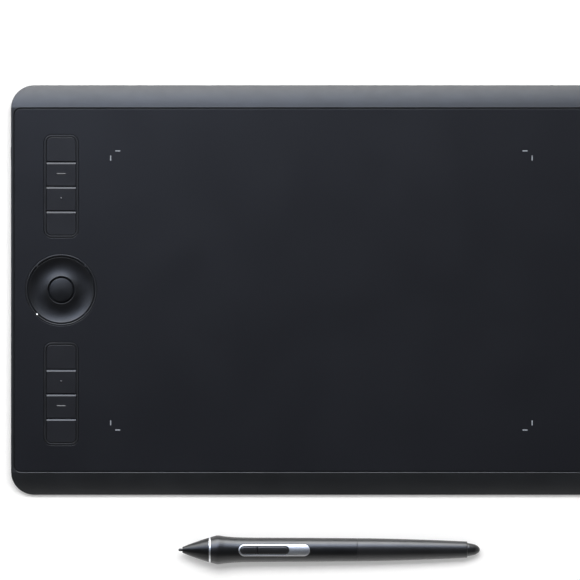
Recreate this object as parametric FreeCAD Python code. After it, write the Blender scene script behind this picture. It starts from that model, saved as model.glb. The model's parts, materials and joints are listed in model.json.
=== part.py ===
import FreeCAD, Part
import math
import os

# A graphics tablet with its pen lying in front of it.
# Lengths are millimetres. X runs along the long side, +Y points to the rear edge,
# and Z is the height over the desk. Most pieces are drawn about the tablet's own
# centre, and the pen along its own axis; both are put in place when they are written.

# Tablet body
TABLET_WIDTH = 338.0
TABLET_DEPTH = 219.0
BODY_CORNER_R = 12.3
BAR_DEPTH = 12.4             # sloping bar before and behind the drawing panel
BAR_DROP = 5.0               # how far the bar falls from the panel to the outer edge
BAR_START_SLOPE = 10.0       # degrees, from where the bar falls ever more steeply
BAR_CREASE_R = 3.0           # round between the panel's level and the bar's starting slope
SIDE_RIM = 1.6
RIM_SETBACK = 0.1            # rim lies this far under the drawing surface
RIM_ROUND = 0.4
LIP_CHAMFER = (0.5, 0.35)     # inner edge of the frame round the panel: width, depth
FRAME_WALL = 1.8
LEDGE_WIDTH = 3.0            # ledge that carries the panel's edge

# Bottom cover and feet
FOOT_PROUD = 0.7
FOOT_RECESS = 0.5
FOOT_LENGTH = 30.0
FOOT_WIDTH = 7.0
FOOT_FROM_SIDE = 34.0
FOOT_FROM_EDGE = 18.0
FOOT_PLAY = 0.1
COVER_FLOOR = 1.0
COVER_RIM_HEIGHT = 1.5
COVER_INSET = 0.2
COVER_BEVEL_WIDTH = 3.0
COVER_BEVEL_HEIGHT = 1.2
COVER_RIM_WIDTH = 4.2

# Screws through the bottom cover
SCREWS_PER_BAR = 4
SCREW_FROM_SIDE = 14.0
SCREW_FROM_EDGE = 8.5
SCREW_R = 1.0
SCREW_HEAD_R = 1.8
SCREW_HEAD_DEPTH = 0.8
SCREW_LENGTH = 3.9
SCREW_SOCKET_WIDTH = 1.3
SCREW_SOCKET_DEPTH = 0.5
BOSS_R = 2.4
SCREW_PLAY = 0.05
SCREW_TIP_GAP = 0.3

# Drawing panel, from the surface down
SHEET_THICK = 0.4
PANEL_THICK = 1.0
FILM_THICK = 0.2
DIGITIZER_THICK = 0.8
SHIELD_THICK = 0.4
PANEL_CORNER_R = 3.7
PANEL_GAP = 0.45             # dark line between rim and sheet
BOARD_CORNER_R = 2.0

# Active area and its corner lights
ACTIVE_FROM_RIGHT = 60.3     # tablet's side to the active area
ACTIVE_FROM_REAR = 35.7
ACTIVE_FROM_FRONT = 35.3
MARK_MARGIN = 0.5            # lights lie this far outside the active area
MARK_OFFSET = 2.5            # from the corner to the start of each light
MARK_LENGTH = 2.6
MARK_WIDTH = 0.5
MARK_PLAY = 0.05
GUIDE_THICK = 0.5
GUIDE_BORDER = 0.6
FILM_MARGIN = 1.5            # film to the corner light guides
DIGITIZER_MARGIN = 5.0
SHIELD_MARGIN = 3.0
MARK_LED = (1.6, 0.8, 0.4)

# Express keys
KEYS_PER_GROUP = 4
KEY_PITCH = 13.1
KEY_GAP = 0.3
KEY_WIDTH = 15.6
KEY_TOP_SETBACK = 0.05
KEY_PLATE = 1.0
KEY_WALL = 1.2
KEY_FLANGE = 0.85            # how far the cap widens under the tray lip
KEY_FLANGE_HEIGHT = 0.5
FLANGE_PLAY = 0.05
KEY_TRAVEL = 0.6
KEY_STOP_GAP = 0.15          # left under a pressed key's flange
KEY_CORNER_R = 2.1
KEY_REAR_CHAMFER = (0.9, 0.5)
KEY_FRONT_CHAMFER = (0.4, 0.4)
KEY_MARK_HEIGHT = 0.3
KEY_DASH_LENGTH = 5.2
KEY_DASH_WIDTH = 0.9
KEY_DOT_R = 0.65
KEY_DOT_ROOT = 0.1
KEY_POST_R = 1.25
KEY_TIP_R = 0.75
POST_PLAY = 0.08

# Tray round each group of keys
TRAY_KEY_GAP = 0.35
TRAY_LIP = 0.95
TRAY_PANEL_GAP = 0.3
TRAY_FLANGE = 1.6
TRAY_RETAINER = 0.5          # what the key flanges catch under
TRAY_FLOOR = 0.5
TRAY_SWITCH_GAP = 0.3
TRAY_LEG_R = 1.2
TRAY_LEG_FROM_SIDE = 0.5
TRAY_LEG_FROM_END = 2.0

# Key board and its switches
KEY_BOARD_THICK = 0.8
KEY_BOARD_LIFT = 0.7         # cover's floor to the board
KEY_BOARD_WIDTH = 21.0
SWITCH_SIZE = 3.4
SWITCH_HEIGHT = 0.8
SWITCH_FLOOR = 0.05
TIP_ENGAGED = 0.1
POST_STOP = 0.05             # post's shoulder over the switch when a key is down

# Touch ring
RING_WALL_GAP = 1.25         # casing's ledge to the ring's flange
RING_TRAY_GAP = 5.5          # ring's flange to the trays
RING_ACTIVE_GAP = 0.95       # ring's flange to the digitizer
RING_BUTTON_R = 6.45
RING_BUTTON_CROWN = 0.35
RING_BUTTON_FLANGE = 1.55
RING_INNER_R = 7.2
RING_OUTER_R = 17.5
RING_DISH_DEPTH = 1.2
RING_LIP_SETBACK = 0.05
RING_TRIM_WIDTH = 1.15
RING_TRIM_GAP = 0.3
RING_FLANGE = 1.7
RING_BASE_THICK = 1.0
RING_SENSOR_THICK = 0.4
RING_SENSOR_SETBACK = 0.5    # sensor's outer edge inside the dish's lip
RING_SENSOR_GAP = 0.6        # centre button's flange to the sensor
RING_LIGHT_R = 0.5
RING_LIGHT_BOSS_R = 0.8
RING_LIGHT_PLAY = 0.05
RING_LED = (1.6, 0.8, 0.5)

# Main board
MAIN_BOARD_LIFT = 1.3        # cover's floor to the board
MAIN_BOARD_THICK = 0.8
MAIN_BOARD_WIDTH = 105.0
MAIN_BOARD_DEPTH = 57.0
MAIN_BOARD_FROM_REAR = 12.5
MAIN_BOARD_GAP = 6.7         # key board to the main board
MAIN_STRIP_GAP = 0.65        # key board's rear end to the strip behind it
MAIN_TAIL_GAP = 1.8          # key board to the tail beside it
MAIN_TAIL_REACH = 3.5        # tail runs this far past the power button
BOARD_WALL_GAP = 3.2         # board edge to the tablet's outer side
STANDOFF_R = 2.0

# Pieces soldered to the main board, by their middle from its left front corner: x, y, width, depth, height
SHIELD_CAN = (75.0, 42.0, 22.0, 15.0, 1.2)
PROCESSOR = (41.0, 26.0, 10.0, 10.0, 1.0)
MEMORY_CHIP = (57.0, 26.0, 8.0, 6.0, 0.9)
CHARGER_CHIP = (27.0, 46.0, 5.0, 5.0, 0.9)
CHARGER_COIL = (17.0, 40.0, 4.0, 4.0, 1.2)
MOTION_CHIP = (79.0, 18.0, 7.0, 7.0, 0.9)
SOCKET_CHIP = (18.0, 4.0, 4.0, 0.9)

# Charging and data socket in the left wall
SOCKET_FROM_BOARD_REAR = 6.5
SOCKET_RISE = 0.6            # board's top to the socket's middle
SOCKET_WIDTH = 8.94
SOCKET_HEIGHT = 3.2
SOCKET_LENGTH = 7.3
SOCKET_WALL = 0.3
SOCKET_RECESS = 0.4
SOCKET_PLAY = 0.1
TONGUE_WIDTH = 6.7
TONGUE_THICK = 0.7
TONGUE_LENGTH = 4.9
TONGUE_BASE = 1.6

# Power button, its light and its switch
LIGHT_FROM_SOCKET = 10.5
POWER_FROM_LIGHT = 7.0
POWER_RISE = 0.2             # board's top to the middle of button and light
POWER_WIDTH = 7.0
POWER_HEIGHT = 1.7
POWER_PROUD = 0.25
POWER_PLAY = 0.08
POWER_FLANGE = 0.5
POWER_FLANGE_THICK = 0.8
POWER_STEM = 0.7
POWER_STEM_WIDTH = 2.0
POWER_STEM_LIFT = 0.2        # stem over the board
POWER_TRAVEL = 0.4
POWER_SWITCH = (3.5, 5.0)
POWER_SWITCH_GAP = 0.2       # switch to the shield plate's height
POWER_LIGHT_R = 0.6
POWER_LIGHT_PLAY = 0.05
POWER_LIGHT_GAP = 0.1        # window to the board's edge
POWER_LED = (0.8, 1.6, 0.6)
POWER_LED_SETBACK = 0.5

# Touch on and off slide switch in the right wall
SLIDE_FROM_REAR = 31.5
SLIDE_RISE = 0.2             # board's top to the knob's middle
SLIDE_TRAVEL = 2.4
SLIDE_KNOB_LENGTH = 3.0
SLIDE_KNOB_HEIGHT = 1.6
SLIDE_PROUD = 0.4
SLIDE_PLAY = 0.1
SLIDE_PLATE = (8.4, 2.4, 0.7)
SLIDE_TAB = (1.2, 0.8, 1.5)
SLIDE_BASE = (3.2, 9.0, 1.4)
SLIDE_BOARD = (14.0, 22.0)
SLIDE_BOARD_SHIFT = 1.0

# Battery, antenna and flat cables
BATTERY = (100.0, 60.0, 3.2)
BATTERY_CORNER_R = 1.5
BATTERY_GAP = 30.0           # main board to the battery
BATTERY_FROM_REAR = 29.5
BATTERY_LEAD = (4.0, 0.6)
BATTERY_LEAD_LIFT = 0.2
BATTERY_LEAD_FROM_FRONT = 12.0
BATTERY_PLUG_BORDER = 1.0
ANTENNA = (30.0, 4.0, 0.3)
ANTENNA_FROM_LEDGE = 0.5     # ledge's inner edge to the antenna
CABLE_THICK = 0.2
CABLE_WIDTH = 18.0
CABLE_NOTCH_PLAY = 1.0
CABLE_GAP = 2.0              # between the digitizer's cable and the keys' cable
CABLE_STEP = 1.0             # straight length before a cable bends
KEY_CABLE_WIDTH = 8.0
KEY_CABLE_FROM_REAR = 12.35  # key board's rear end to its cable's middle
SWITCH_CABLE_WIDTH = 4.0
SWITCH_CABLE_SHIFT = 8.0     # from the slide switch towards the rear
SENSOR_LAND = 4.0            # length of cable bonded to a board
SENSOR_LOOP = 2.0            # how far the cable swings out past the digitizer
CONNECTOR = (3.5, 1.1)

# Pillars under the shield plate, from the digitizer's left edge and the active area's front edge
PILLAR_R = 3.0
PILLAR_FROM_LEFT = (30.3, 90.3, 180.3)
PILLAR_FROM_FRONT = (19.2, 74.2)

# Pen outline, as lengths along the pen and radii
NIB_R = 0.75
NIB_OUT = 2.1                # nib showing beyond the cone
CONE_TIP_R = 1.5
CONE_LENGTH = 14.1
CONE_MIDDLE = (7.4, 4.36)    # from the cone's tip
CONE_END_R = 6.56
PEN_RING_LENGTH = 0.9
FLARE_LENGTH = 3.4
FLARE_R = 7.75
GRIP_LENGTH = 74.9
GRIP_CURVE = ((4.2, 7.25), (10.7, 6.72), (18.2, 6.53), (44.8, 6.4))    # from the flare
GRIP_END_R = 6.17
BARREL_LENGTH = 58.9
BARREL_CURVE = ((9.6, 6.03), (23.2, 5.72), (44.6, 5.01))               # from the grip's end
BARREL_END_R = 4.36
ERASER_LENGTH = 6.7
ERASER_R = 3.5
ERASER_CURVE = ((4.6, 3.23), (2.5, 2.71), (0.9, 1.75))                 # back from the tail
ERASER_STRAIGHT = 6.2        # from the tail to where the eraser starts to round

# Pen inside
PEN_PLAY = 0.05
NIB_PLAY = 0.07
NIB_TRAVEL = 0.3
NIB_IN_SENSOR = 1.5
NIB_STOP_GAP = 0.4
CHASSIS_R = 4.2
CHASSIS_WALL = 0.8
CHASSIS_IN_CONE = 2.6
CHASSIS_IN_BARREL = 29.6
COIL_SETBACK = 1.7
COIL_LENGTH = 10.0
PRESSURE_GAP = 2.0           # coil to the pressure sensor
PRESSURE_LENGTH = 5.0
PEN_BOARD_GAP = 1.0          # pressure sensor to the board
PEN_BOARD_SETBACK = 15.0     # board's end inside the chassis
PEN_BOARD_THICK = 0.8
ERASER_STEM_R = 1.9
ERASER_STEM_LENGTH = 10.7
ERASER_HEAD_IN = 0.8         # eraser inside the barrel's end
ERASER_TRAVEL = 0.5
ERASER_STOP_GAP = 0.3
ERASER_SENSOR_LENGTH = 7.0
BARREL_BORE_R = 3.0
BARREL_END_WALL = 1.8

# Pen side switch
BEZEL_FROM_FLARE = 11.5
BEZEL_LENGTH = 38.0
BEZEL_WIDTH = 6.3
BEZEL_PROUD = 0.12
ROCKER_FROM_BEZEL = 1.2
ROCKER_LENGTH = 25.5
ROCKER_WIDTH = 4.2
ROCKER_PROUD = 0.4
ROCKER_UNDER = 4.9           # radius of the rocker plate's underside
ROCKER_ROOT = 0.4            # how far web and feet reach into the plate
ROCKER_END_GAP = 0.35
ROCKER_SIDE_GAP = 0.25
ROCKER_NOTCH_FROM_START = 8.8
ROCKER_NOTCH = (0.8, 0.35)
ROCKER_WEB = 3.0
ROCKER_FOOT = 1.6
ROCKER_FOOT_ARM = 7.0
ROCKER_THICK = 2.4
ROCKER_PIN_R = 0.5
ROCKER_PIN_Z = 2.4
ROCKER_PIN_HALF = 3.1
ROCKER_PIN_PLAY = 0.05
PEN_SWITCH = (3.0, 3.0, 1.2)
ROCKER_SWITCH_GAP = 0.4

# Where the pen lies
PEN_GAP = 29.2               # tablet's front edge to the pen's centreline
PEN_TIP_X = -79.6

# Modelling allowances
CUT_OVERRUN = 1.0            # how far a cutting shape runs past what it cuts
EDGE_TOLERANCE = 1e-3

# Heights, from the desk up: the stack under a key sets the tablet's height
FLOOR_Z = FOOT_PROUD + COVER_FLOOR
SPLIT_Z = FOOT_PROUD + COVER_RIM_HEIGHT
KEY_BOARD_Z = FLOOR_Z + KEY_BOARD_LIFT
KEY_BOARD_TOP = KEY_BOARD_Z + KEY_BOARD_THICK
SWITCH_TOP = KEY_BOARD_TOP + SWITCH_HEIGHT
TRAY_BASE_Z = SWITCH_TOP + TRAY_SWITCH_GAP
TRAY_FLOOR_Z = TRAY_BASE_Z + TRAY_FLOOR
KEY_FLANGE_LOW = TRAY_FLOOR_Z + KEY_TRAVEL + KEY_STOP_GAP
KEY_FLANGE_TOP = KEY_FLANGE_LOW + KEY_FLANGE_HEIGHT
PANEL_Z = KEY_FLANGE_TOP + FLANGE_PLAY + TRAY_RETAINER
SHEET_Z = PANEL_Z + PANEL_THICK
TABLET_HEIGHT = SHEET_Z + SHEET_THICK
DIGITIZER_Z = PANEL_Z - DIGITIZER_THICK
SHIELD_Z = DIGITIZER_Z - SHIELD_THICK
RIM_Z = TABLET_HEIGHT - RIM_SETBACK
KEY_TOP_Z = TABLET_HEIGHT - KEY_TOP_SETBACK
POST_SHOULDER_Z = SWITCH_TOP + KEY_TRAVEL + POST_STOP
RING_TOP_Z = TABLET_HEIGHT - RING_LIP_SETBACK
RING_BASE_Z = PANEL_Z - RING_BASE_THICK
MAIN_BOARD_Z = FLOOR_Z + MAIN_BOARD_LIFT
MAIN_BOARD_TOP = MAIN_BOARD_Z + MAIN_BOARD_THICK
SOCKET_Z = MAIN_BOARD_TOP + SOCKET_RISE
POWER_Z = MAIN_BOARD_TOP + POWER_RISE
SLIDE_Z = MAIN_BOARD_TOP + SLIDE_RISE

# Casing
SIDE_X = TABLET_WIDTH / 2
EDGE_Y = TABLET_DEPTH / 2
BAR_Y = EDGE_Y - BAR_DEPTH
BAR_SLOPE = math.radians(BAR_START_SLOPE)
BAR_CREASE_Y = BAR_Y + BAR_CREASE_R * math.sin(BAR_SLOPE)
BAR_CREASE_Z = RIM_Z - BAR_CREASE_R * (1 - math.cos(BAR_SLOPE))
BAR_CHORD = (EDGE_Y - BAR_CREASE_Y, BAR_CREASE_Z - RIM_Z + BAR_DROP)
BAR_CHORD_SLOPE = math.atan2(BAR_CHORD[1], BAR_CHORD[0])
BAR_ARC_R = math.hypot(*BAR_CHORD) / (2 * math.sin(BAR_CHORD_SLOPE - BAR_SLOPE))
BAR_ARC_Y = BAR_CREASE_Y - BAR_ARC_R * math.sin(BAR_SLOPE)
BAR_ARC_Z = BAR_CREASE_Z - BAR_ARC_R * math.cos(BAR_SLOPE)
OPENING_WIDTH = TABLET_WIDTH - 2 * SIDE_RIM
OPENING_DEPTH = TABLET_DEPTH - 2 * BAR_DEPTH

# Touch ring and keys, in one column beside the casing's left ledge
RING_TRIM_R = RING_OUTER_R + RING_TRIM_GAP
RING_OPENING_R = RING_TRIM_R + RING_TRIM_WIDTH + RING_TRIM_GAP
RING_FLANGE_R = RING_OPENING_R + RING_FLANGE
RING_BUTTON_WIDE = RING_BUTTON_R + RING_BUTTON_FLANGE
RING_LIGHT_AT = RING_TRIM_R + RING_TRIM_WIDTH / 2
RING_LIGHT_ANGLES = (45, 135, 225, 315)
RING_LIT_ANGLE = 225
CONTROL_X = -SIDE_X + SIDE_RIM + LEDGE_WIDTH + RING_WALL_GAP + RING_FLANGE_R
KEY_LENGTH = KEY_PITCH - KEY_GAP
GROUP_LENGTH = KEYS_PER_GROUP * KEY_PITCH - KEY_GAP
TRAY_INNER_WIDTH = KEY_WIDTH + 2 * TRAY_KEY_GAP
TRAY_INNER_LENGTH = GROUP_LENGTH + 2 * TRAY_KEY_GAP
TRAY_LIP_WIDTH = TRAY_INNER_WIDTH + 2 * TRAY_LIP
TRAY_LIP_LENGTH = TRAY_INNER_LENGTH + 2 * TRAY_LIP
TRAY_WIDTH = TRAY_LIP_WIDTH + 2 * TRAY_FLANGE
TRAY_LENGTH = TRAY_LIP_LENGTH + 2 * TRAY_FLANGE
TRAY_CORNER_R = KEY_CORNER_R + TRAY_KEY_GAP
KEY_GROUP_Y = RING_FLANGE_R + RING_TRAY_GAP + TRAY_LENGTH / 2
KEY_GROUPS = (KEY_GROUP_Y, -KEY_GROUP_Y)
KEY_BOARD_REAR = KEY_GROUP_Y + TRAY_LENGTH / 2

# Active area, from the control column to the right margin
DIGITIZER_LEFT = CONTROL_X + RING_FLANGE_R + RING_ACTIVE_GAP
ACTIVE_LEFT = DIGITIZER_LEFT + DIGITIZER_MARGIN
ACTIVE_RIGHT = SIDE_X - ACTIVE_FROM_RIGHT
ACTIVE_FRONT = -EDGE_Y + ACTIVE_FROM_FRONT
ACTIVE_REAR = EDGE_Y - ACTIVE_FROM_REAR
ACTIVE_WIDTH = ACTIVE_RIGHT - ACTIVE_LEFT
ACTIVE_DEPTH = ACTIVE_REAR - ACTIVE_FRONT
ACTIVE_X = (ACTIVE_LEFT + ACTIVE_RIGHT) / 2
ACTIVE_Y = (ACTIVE_FRONT + ACTIVE_REAR) / 2
GUIDE_REACH = MARK_OFFSET + MARK_LENGTH + GUIDE_BORDER + MARK_PLAY - MARK_MARGIN

# Main board, and what stands on it
MAIN_BOARD_LEFT = CONTROL_X + KEY_BOARD_WIDTH / 2 + MAIN_BOARD_GAP
MAIN_BOARD_RIGHT = MAIN_BOARD_LEFT + MAIN_BOARD_WIDTH
MAIN_BOARD_REAR = EDGE_Y - MAIN_BOARD_FROM_REAR
MAIN_BOARD_FRONT = MAIN_BOARD_REAR - MAIN_BOARD_DEPTH
SOCKET_Y = MAIN_BOARD_REAR - SOCKET_FROM_BOARD_REAR
SOCKET_START = -SIDE_X + SOCKET_RECESS
SOCKET_END = SOCKET_START + SOCKET_LENGTH
POWER_LIGHT_Y = SOCKET_Y - LIGHT_FROM_SOCKET
POWER_Y = POWER_LIGHT_Y - POWER_FROM_LIGHT
MAIN_STRIP_FRONT = KEY_BOARD_REAR + MAIN_STRIP_GAP
MAIN_TAIL_LEFT = -SIDE_X + BOARD_WALL_GAP
MAIN_TAIL_RIGHT = CONTROL_X - KEY_BOARD_WIDTH / 2 - MAIN_TAIL_GAP
MAIN_TAIL_FRONT = POWER_Y - POWER_WIDTH / 2 - MAIN_TAIL_REACH
KEY_CABLE_Y = KEY_BOARD_REAR - KEY_CABLE_FROM_REAR
SENSOR_CABLE_REAR = KEY_CABLE_Y - KEY_CABLE_WIDTH / 2 - CABLE_GAP
SENSOR_CABLE_FRONT = SENSOR_CABLE_REAR - CABLE_WIDTH
BATTERY_LEFT = MAIN_BOARD_RIGHT + BATTERY_GAP
BATTERY_LEAD_Y = MAIN_BOARD_FRONT + BATTERY_LEAD_FROM_FRONT

# Touch switch in the right wall
SLIDE_Y = EDGE_Y - SLIDE_FROM_REAR
SLIDE_BOARD_EDGE = SIDE_X - BOARD_WALL_GAP
SLIDE_GROOVE_Z = MAIN_BOARD_TOP + SLIDE_BASE[2] / 2
SWITCH_CABLE_Y = SLIDE_Y + SWITCH_CABLE_SHIFT

# Pen, as distances from its tip
CONE_END = NIB_OUT + CONE_LENGTH
PEN_RING_END = CONE_END + PEN_RING_LENGTH
FLARE = PEN_RING_END + FLARE_LENGTH
GRIP_END = FLARE + GRIP_LENGTH
BARREL_END = GRIP_END + BARREL_LENGTH
PEN_LENGTH = BARREL_END + ERASER_LENGTH
GRIP_POINTS = [(FLARE, FLARE_R)] + [(FLARE + s, r) for s, r in GRIP_CURVE] + [(GRIP_END, GRIP_END_R)]
BARREL_POINTS = [(GRIP_END + s, r) for s, r in BARREL_CURVE] + [(BARREL_END, BARREL_END_R)]
PEN_PROFILE = GRIP_POINTS + BARREL_POINTS
PEN_REST = BARREL_POINTS[0]  # where the barrel touches the desk
CHASSIS_START = CONE_END - CHASSIS_IN_CONE
CHASSIS_END = GRIP_END + CHASSIS_IN_BARREL
COIL_START = CHASSIS_START + COIL_SETBACK
PRESSURE_START = COIL_START + COIL_LENGTH + PRESSURE_GAP
PRESSURE_END = PRESSURE_START + PRESSURE_LENGTH
PRESSURE_BORE = NIB_IN_SENSOR + NIB_TRAVEL + NIB_STOP_GAP
NIB_LENGTH = PRESSURE_START + NIB_IN_SENSOR
ERASER_HEAD_START = BARREL_END - ERASER_HEAD_IN
ERASER_STEM_START = ERASER_HEAD_START - ERASER_STEM_LENGTH
BARREL_WALL_REAR = ERASER_HEAD_START - ERASER_TRAVEL - ERASER_STOP_GAP
BARREL_WALL_FRONT = BARREL_WALL_REAR - BARREL_END_WALL
BEZEL_START = FLARE + BEZEL_FROM_FLARE
ROCKER_START = BEZEL_START + ROCKER_FROM_BEZEL
ROCKER_MIDDLE = ROCKER_START + ROCKER_LENGTH / 2

# Where tablet and pen stand about the common middle
TABLET_Y = (PEN_GAP + FLARE_R) / 2
PEN_Y = TABLET_Y - EDGE_Y - PEN_GAP

ALONG_X = FreeCAD.Vector(1, 0, 0)
ALONG_Y = FreeCAD.Vector(0, 1, 0)
ALONG_Z = FreeCAD.Vector(0, 0, 1)


def vec(x, y, z):
    return FreeCAD.Vector(x, y, z)


def block(x0, x1, y0, y1, z0, z1):
    """Box between two opposite corners."""
    return Part.makeBox(x1 - x0, y1 - y0, z1 - z0, vec(x0, y0, z0))


def centred_block(x, y, width, depth, z0, z1):
    """Box centred on x, y between two heights."""
    return block(x - width / 2, x + width / 2, y - depth / 2, y + depth / 2, z0, z1)


def disc(x, y, radius, z0, z1):
    """Upright cylinder between two heights."""
    return Part.makeCylinder(radius, z1 - z0, vec(x, y, z0))


def rounded_face(centre, along, across, width, height, corner_r):
    """Rounded rectangle whose width runs along one direction and height across it."""
    diagonal = corner_r / math.sqrt(2)
    edges = []
    ends = []
    for side, top in ((1, 1), (-1, 1), (-1, -1), (1, -1)):
        corner = centre + along * (side * (width / 2 - corner_r)) + across * (top * (height / 2 - corner_r))
        beside = corner + along * (side * corner_r)
        above = corner + across * (top * corner_r)
        middle = corner + along * (side * diagonal) + across * (top * diagonal)
        start, end = (beside, above) if side == top else (above, beside)
        edges.append(Part.Arc(start, middle, end).toShape())
        ends.append((start, end))
    for index in range(4):
        leaving = ends[index][1]
        arriving = ends[(index + 1) % 4][0]
        if leaving.distanceToPoint(arriving) > 1e-6:
            edges.append(Part.LineSegment(leaving, arriving).toShape())
    return Part.Face(Part.Wire(Part.__sortEdges__(edges)))


def rounded_block(x, y, width, depth, corner_r, z0, z1):
    """Upright prism on a rounded rectangle centred on x, y."""
    face = rounded_face(vec(x, y, z0), ALONG_X, ALONG_Y, width, depth, corner_r)
    return face.extrude(vec(0, 0, z1 - z0))


def side_slot(y, z, width, height, x0, x1):
    """Prism along X whose cross-section is a slot with round ends."""
    face = rounded_face(vec(x0, y, z), ALONG_Y, ALONG_Z, width, height, height / 2)
    return face.extrude(vec(x1 - x0, 0, 0))


def polygon_face(points):
    return Part.Face(Part.makePolygon(points + [points[0]]))


def strip(profile, y0, y1):
    """Sheet piece cut along Y from a closed profile of x, z points."""
    return polygon_face([vec(x, y0, z) for x, z in profile]).extrude(vec(0, y1 - y0, 0))


def joined(shapes):
    """One solid out of shapes that meet."""
    return shapes[0].multiFuse(shapes[1:]).removeSplitter().Solids[0]


def cut_away(shape, tools):
    return shape.cut(Part.makeCompound(tools)) if len(tools) > 1 else shape.cut(tools[0])


def write_node(name, shape, placement):
    """Puts a piece in the common frame and writes it under its own name."""
    placed = shape.copy()
    placed.Placement = placement.multiply(placed.Placement)
    solids = placed.Solids
    piece = solids[0] if len(solids) == 1 else Part.makeCompound(solids)
    piece.exportStep("parts/" + name + ".step")
    volume = round(sum(solid.Volume for solid in solids), 2)
    state = "valid" if piece.isValid() else "NOT VALID"
    print(name, len(solids), "solid(s)", volume, "mm3", state)


# Casing

def bar_profile(inset, z_low, z_high):
    """Body's cross-section along X: flat over the panel, then ever steeper over both bars."""
    radius = BAR_ARC_R - inset
    arc_top = min(z_high, BAR_CREASE_Z)
    top_angle = math.acos((arc_top - BAR_ARC_Z) / radius)
    low_angle = math.acos((z_low - BAR_ARC_Z) / radius)
    edges = []
    ends = []
    for side in (1, -1):
        high, middle, low = [vec(0, side * (BAR_ARC_Y + radius * math.sin(angle)),
                                 BAR_ARC_Z + radius * math.cos(angle))
                             for angle in (top_angle, (top_angle + low_angle) / 2, low_angle)]
        edges.append(Part.Arc(high, middle, low).toShape())
        if z_high > arc_top:
            crease_middle = vec(0, side * (BAR_Y + BAR_CREASE_R * math.sin(BAR_SLOPE / 2)),
                                RIM_Z - BAR_CREASE_R * (1 - math.cos(BAR_SLOPE / 2)))
            panel_end = vec(0, side * BAR_Y, RIM_Z)
            edges.append(Part.Arc(panel_end, crease_middle, high).toShape())
            high = panel_end
        ends.append((high, low))
    (rear_high, rear_low), (front_high, front_low) = ends
    edges.append(Part.LineSegment(front_high, rear_high).toShape())
    edges.append(Part.LineSegment(front_low, rear_low).toShape())
    face = Part.Face(Part.Wire(Part.__sortEdges__(edges)))
    prism = face.extrude(vec(TABLET_WIDTH, 0, 0))
    prism.translate(vec(-SIDE_X, 0, 0))
    return prism


def screw_columns():
    """Evenly spaced places along a bar."""
    reach = SIDE_X - SCREW_FROM_SIDE
    return [reach * (2 * index / (SCREWS_PER_BAR - 1) - 1) for index in range(SCREWS_PER_BAR)]


def screw_places():
    y = EDGE_Y - SCREW_FROM_EDGE
    return [(x, side * y) for x in screw_columns() for side in (1, -1)]


def frame_body():
    """Outer form of the moulded frame, with its upper edge rounded."""
    outline = rounded_block(0, 0, TABLET_WIDTH, TABLET_DEPTH, BODY_CORNER_R, SPLIT_Z, RIM_Z)
    body = outline.common(bar_profile(0, SPLIT_Z, RIM_Z))
    upper = []
    for edge in body.Edges:
        box = edge.BoundBox
        outside = edge.CenterOfMass.Length > BAR_Y
        above_split = box.ZMin > SPLIT_Z + EDGE_TOLERANCE
        if outside and above_split and not is_upright(edge) and not crosses_body(edge):
            upper.append(edge)
    return body.makeFillet(RIM_ROUND, upper)


def is_upright(edge):
    box = edge.BoundBox
    return box.XLength < EDGE_TOLERANCE and box.YLength < EDGE_TOLERANCE


def crosses_body(edge):
    """True for the lines where the flat top meets a bar's crease and the crease its slope."""
    box = edge.BoundBox
    return box.XLength > OPENING_WIDTH and abs(box.YMax) < BAR_CREASE_Y + EDGE_TOLERANCE


def opening_outline(grow, z):
    return rounded_face(vec(0, 0, z), ALONG_X, ALONG_Y, OPENING_WIDTH + 2 * grow, OPENING_DEPTH + 2 * grow,
                        PANEL_CORNER_R + grow)


def opening_flare():
    """Widens the frame's opening upwards; it runs as far above the rim as it starts below it."""
    width, depth = LIP_CHAMFER
    outlines = [opening_outline(0, RIM_Z - depth), opening_outline(2 * width, RIM_Z + depth)]
    return Part.makeLoft([face.OuterWire for face in outlines], True, True)


def top_frame():
    body = frame_body()
    cavity = rounded_block(0, 0, TABLET_WIDTH - 2 * FRAME_WALL, TABLET_DEPTH - 2 * FRAME_WALL,
                           BODY_CORNER_R - FRAME_WALL, SPLIT_Z, SHIELD_Z)
    cavity = cavity.common(bar_profile(FRAME_WALL, SPLIT_Z, SHIELD_Z))
    opening = rounded_block(0, 0, OPENING_WIDTH, OPENING_DEPTH, PANEL_CORNER_R, PANEL_Z, RIM_Z)
    ledge = rounded_block(0, 0, OPENING_WIDTH - 2 * LEDGE_WIDTH, OPENING_DEPTH - 2 * LEDGE_WIDTH,
                          PANEL_CORNER_R, SHIELD_Z, PANEL_Z)
    body = body.cut(cavity).cut(ledge).cut(opening).cut(opening_flare())
    bosses = [disc(x, y, BOSS_R, FLOOR_Z, SHIELD_Z) for x, y in screw_places()]
    body = joined([body] + bosses)
    bores = [disc(x, y, SCREW_R + SCREW_PLAY, FLOOR_Z, FOOT_PROUD + SCREW_LENGTH + SCREW_TIP_GAP)
             for x, y in screw_places()]
    socket_hole = side_slot(SOCKET_Y, SOCKET_Z, SOCKET_WIDTH + 2 * SOCKET_PLAY,
                            SOCKET_HEIGHT + 2 * SOCKET_PLAY, -SIDE_X, SOCKET_END + SOCKET_PLAY)
    power_hole = side_slot(POWER_Y, POWER_Z, POWER_WIDTH + 2 * POWER_PLAY,
                           POWER_HEIGHT + 2 * POWER_PLAY, -SIDE_X, -SIDE_X + FRAME_WALL)
    light_width = 2 * (POWER_LIGHT_R + POWER_LIGHT_PLAY)
    light_hole = side_slot(POWER_LIGHT_Y, POWER_Z, light_width, light_width, -SIDE_X, -SIDE_X + FRAME_WALL)
    slide_hole = side_slot(SLIDE_Y + SLIDE_TRAVEL / 2, SLIDE_Z,
                           SLIDE_KNOB_LENGTH + SLIDE_TRAVEL + 2 * SLIDE_PLAY,
                           SLIDE_KNOB_HEIGHT + 2 * SLIDE_PLAY, SIDE_X - FRAME_WALL, SIDE_X)
    return cut_away(body, bores + [socket_hole, power_hole, light_hole, slide_hole])


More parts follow.
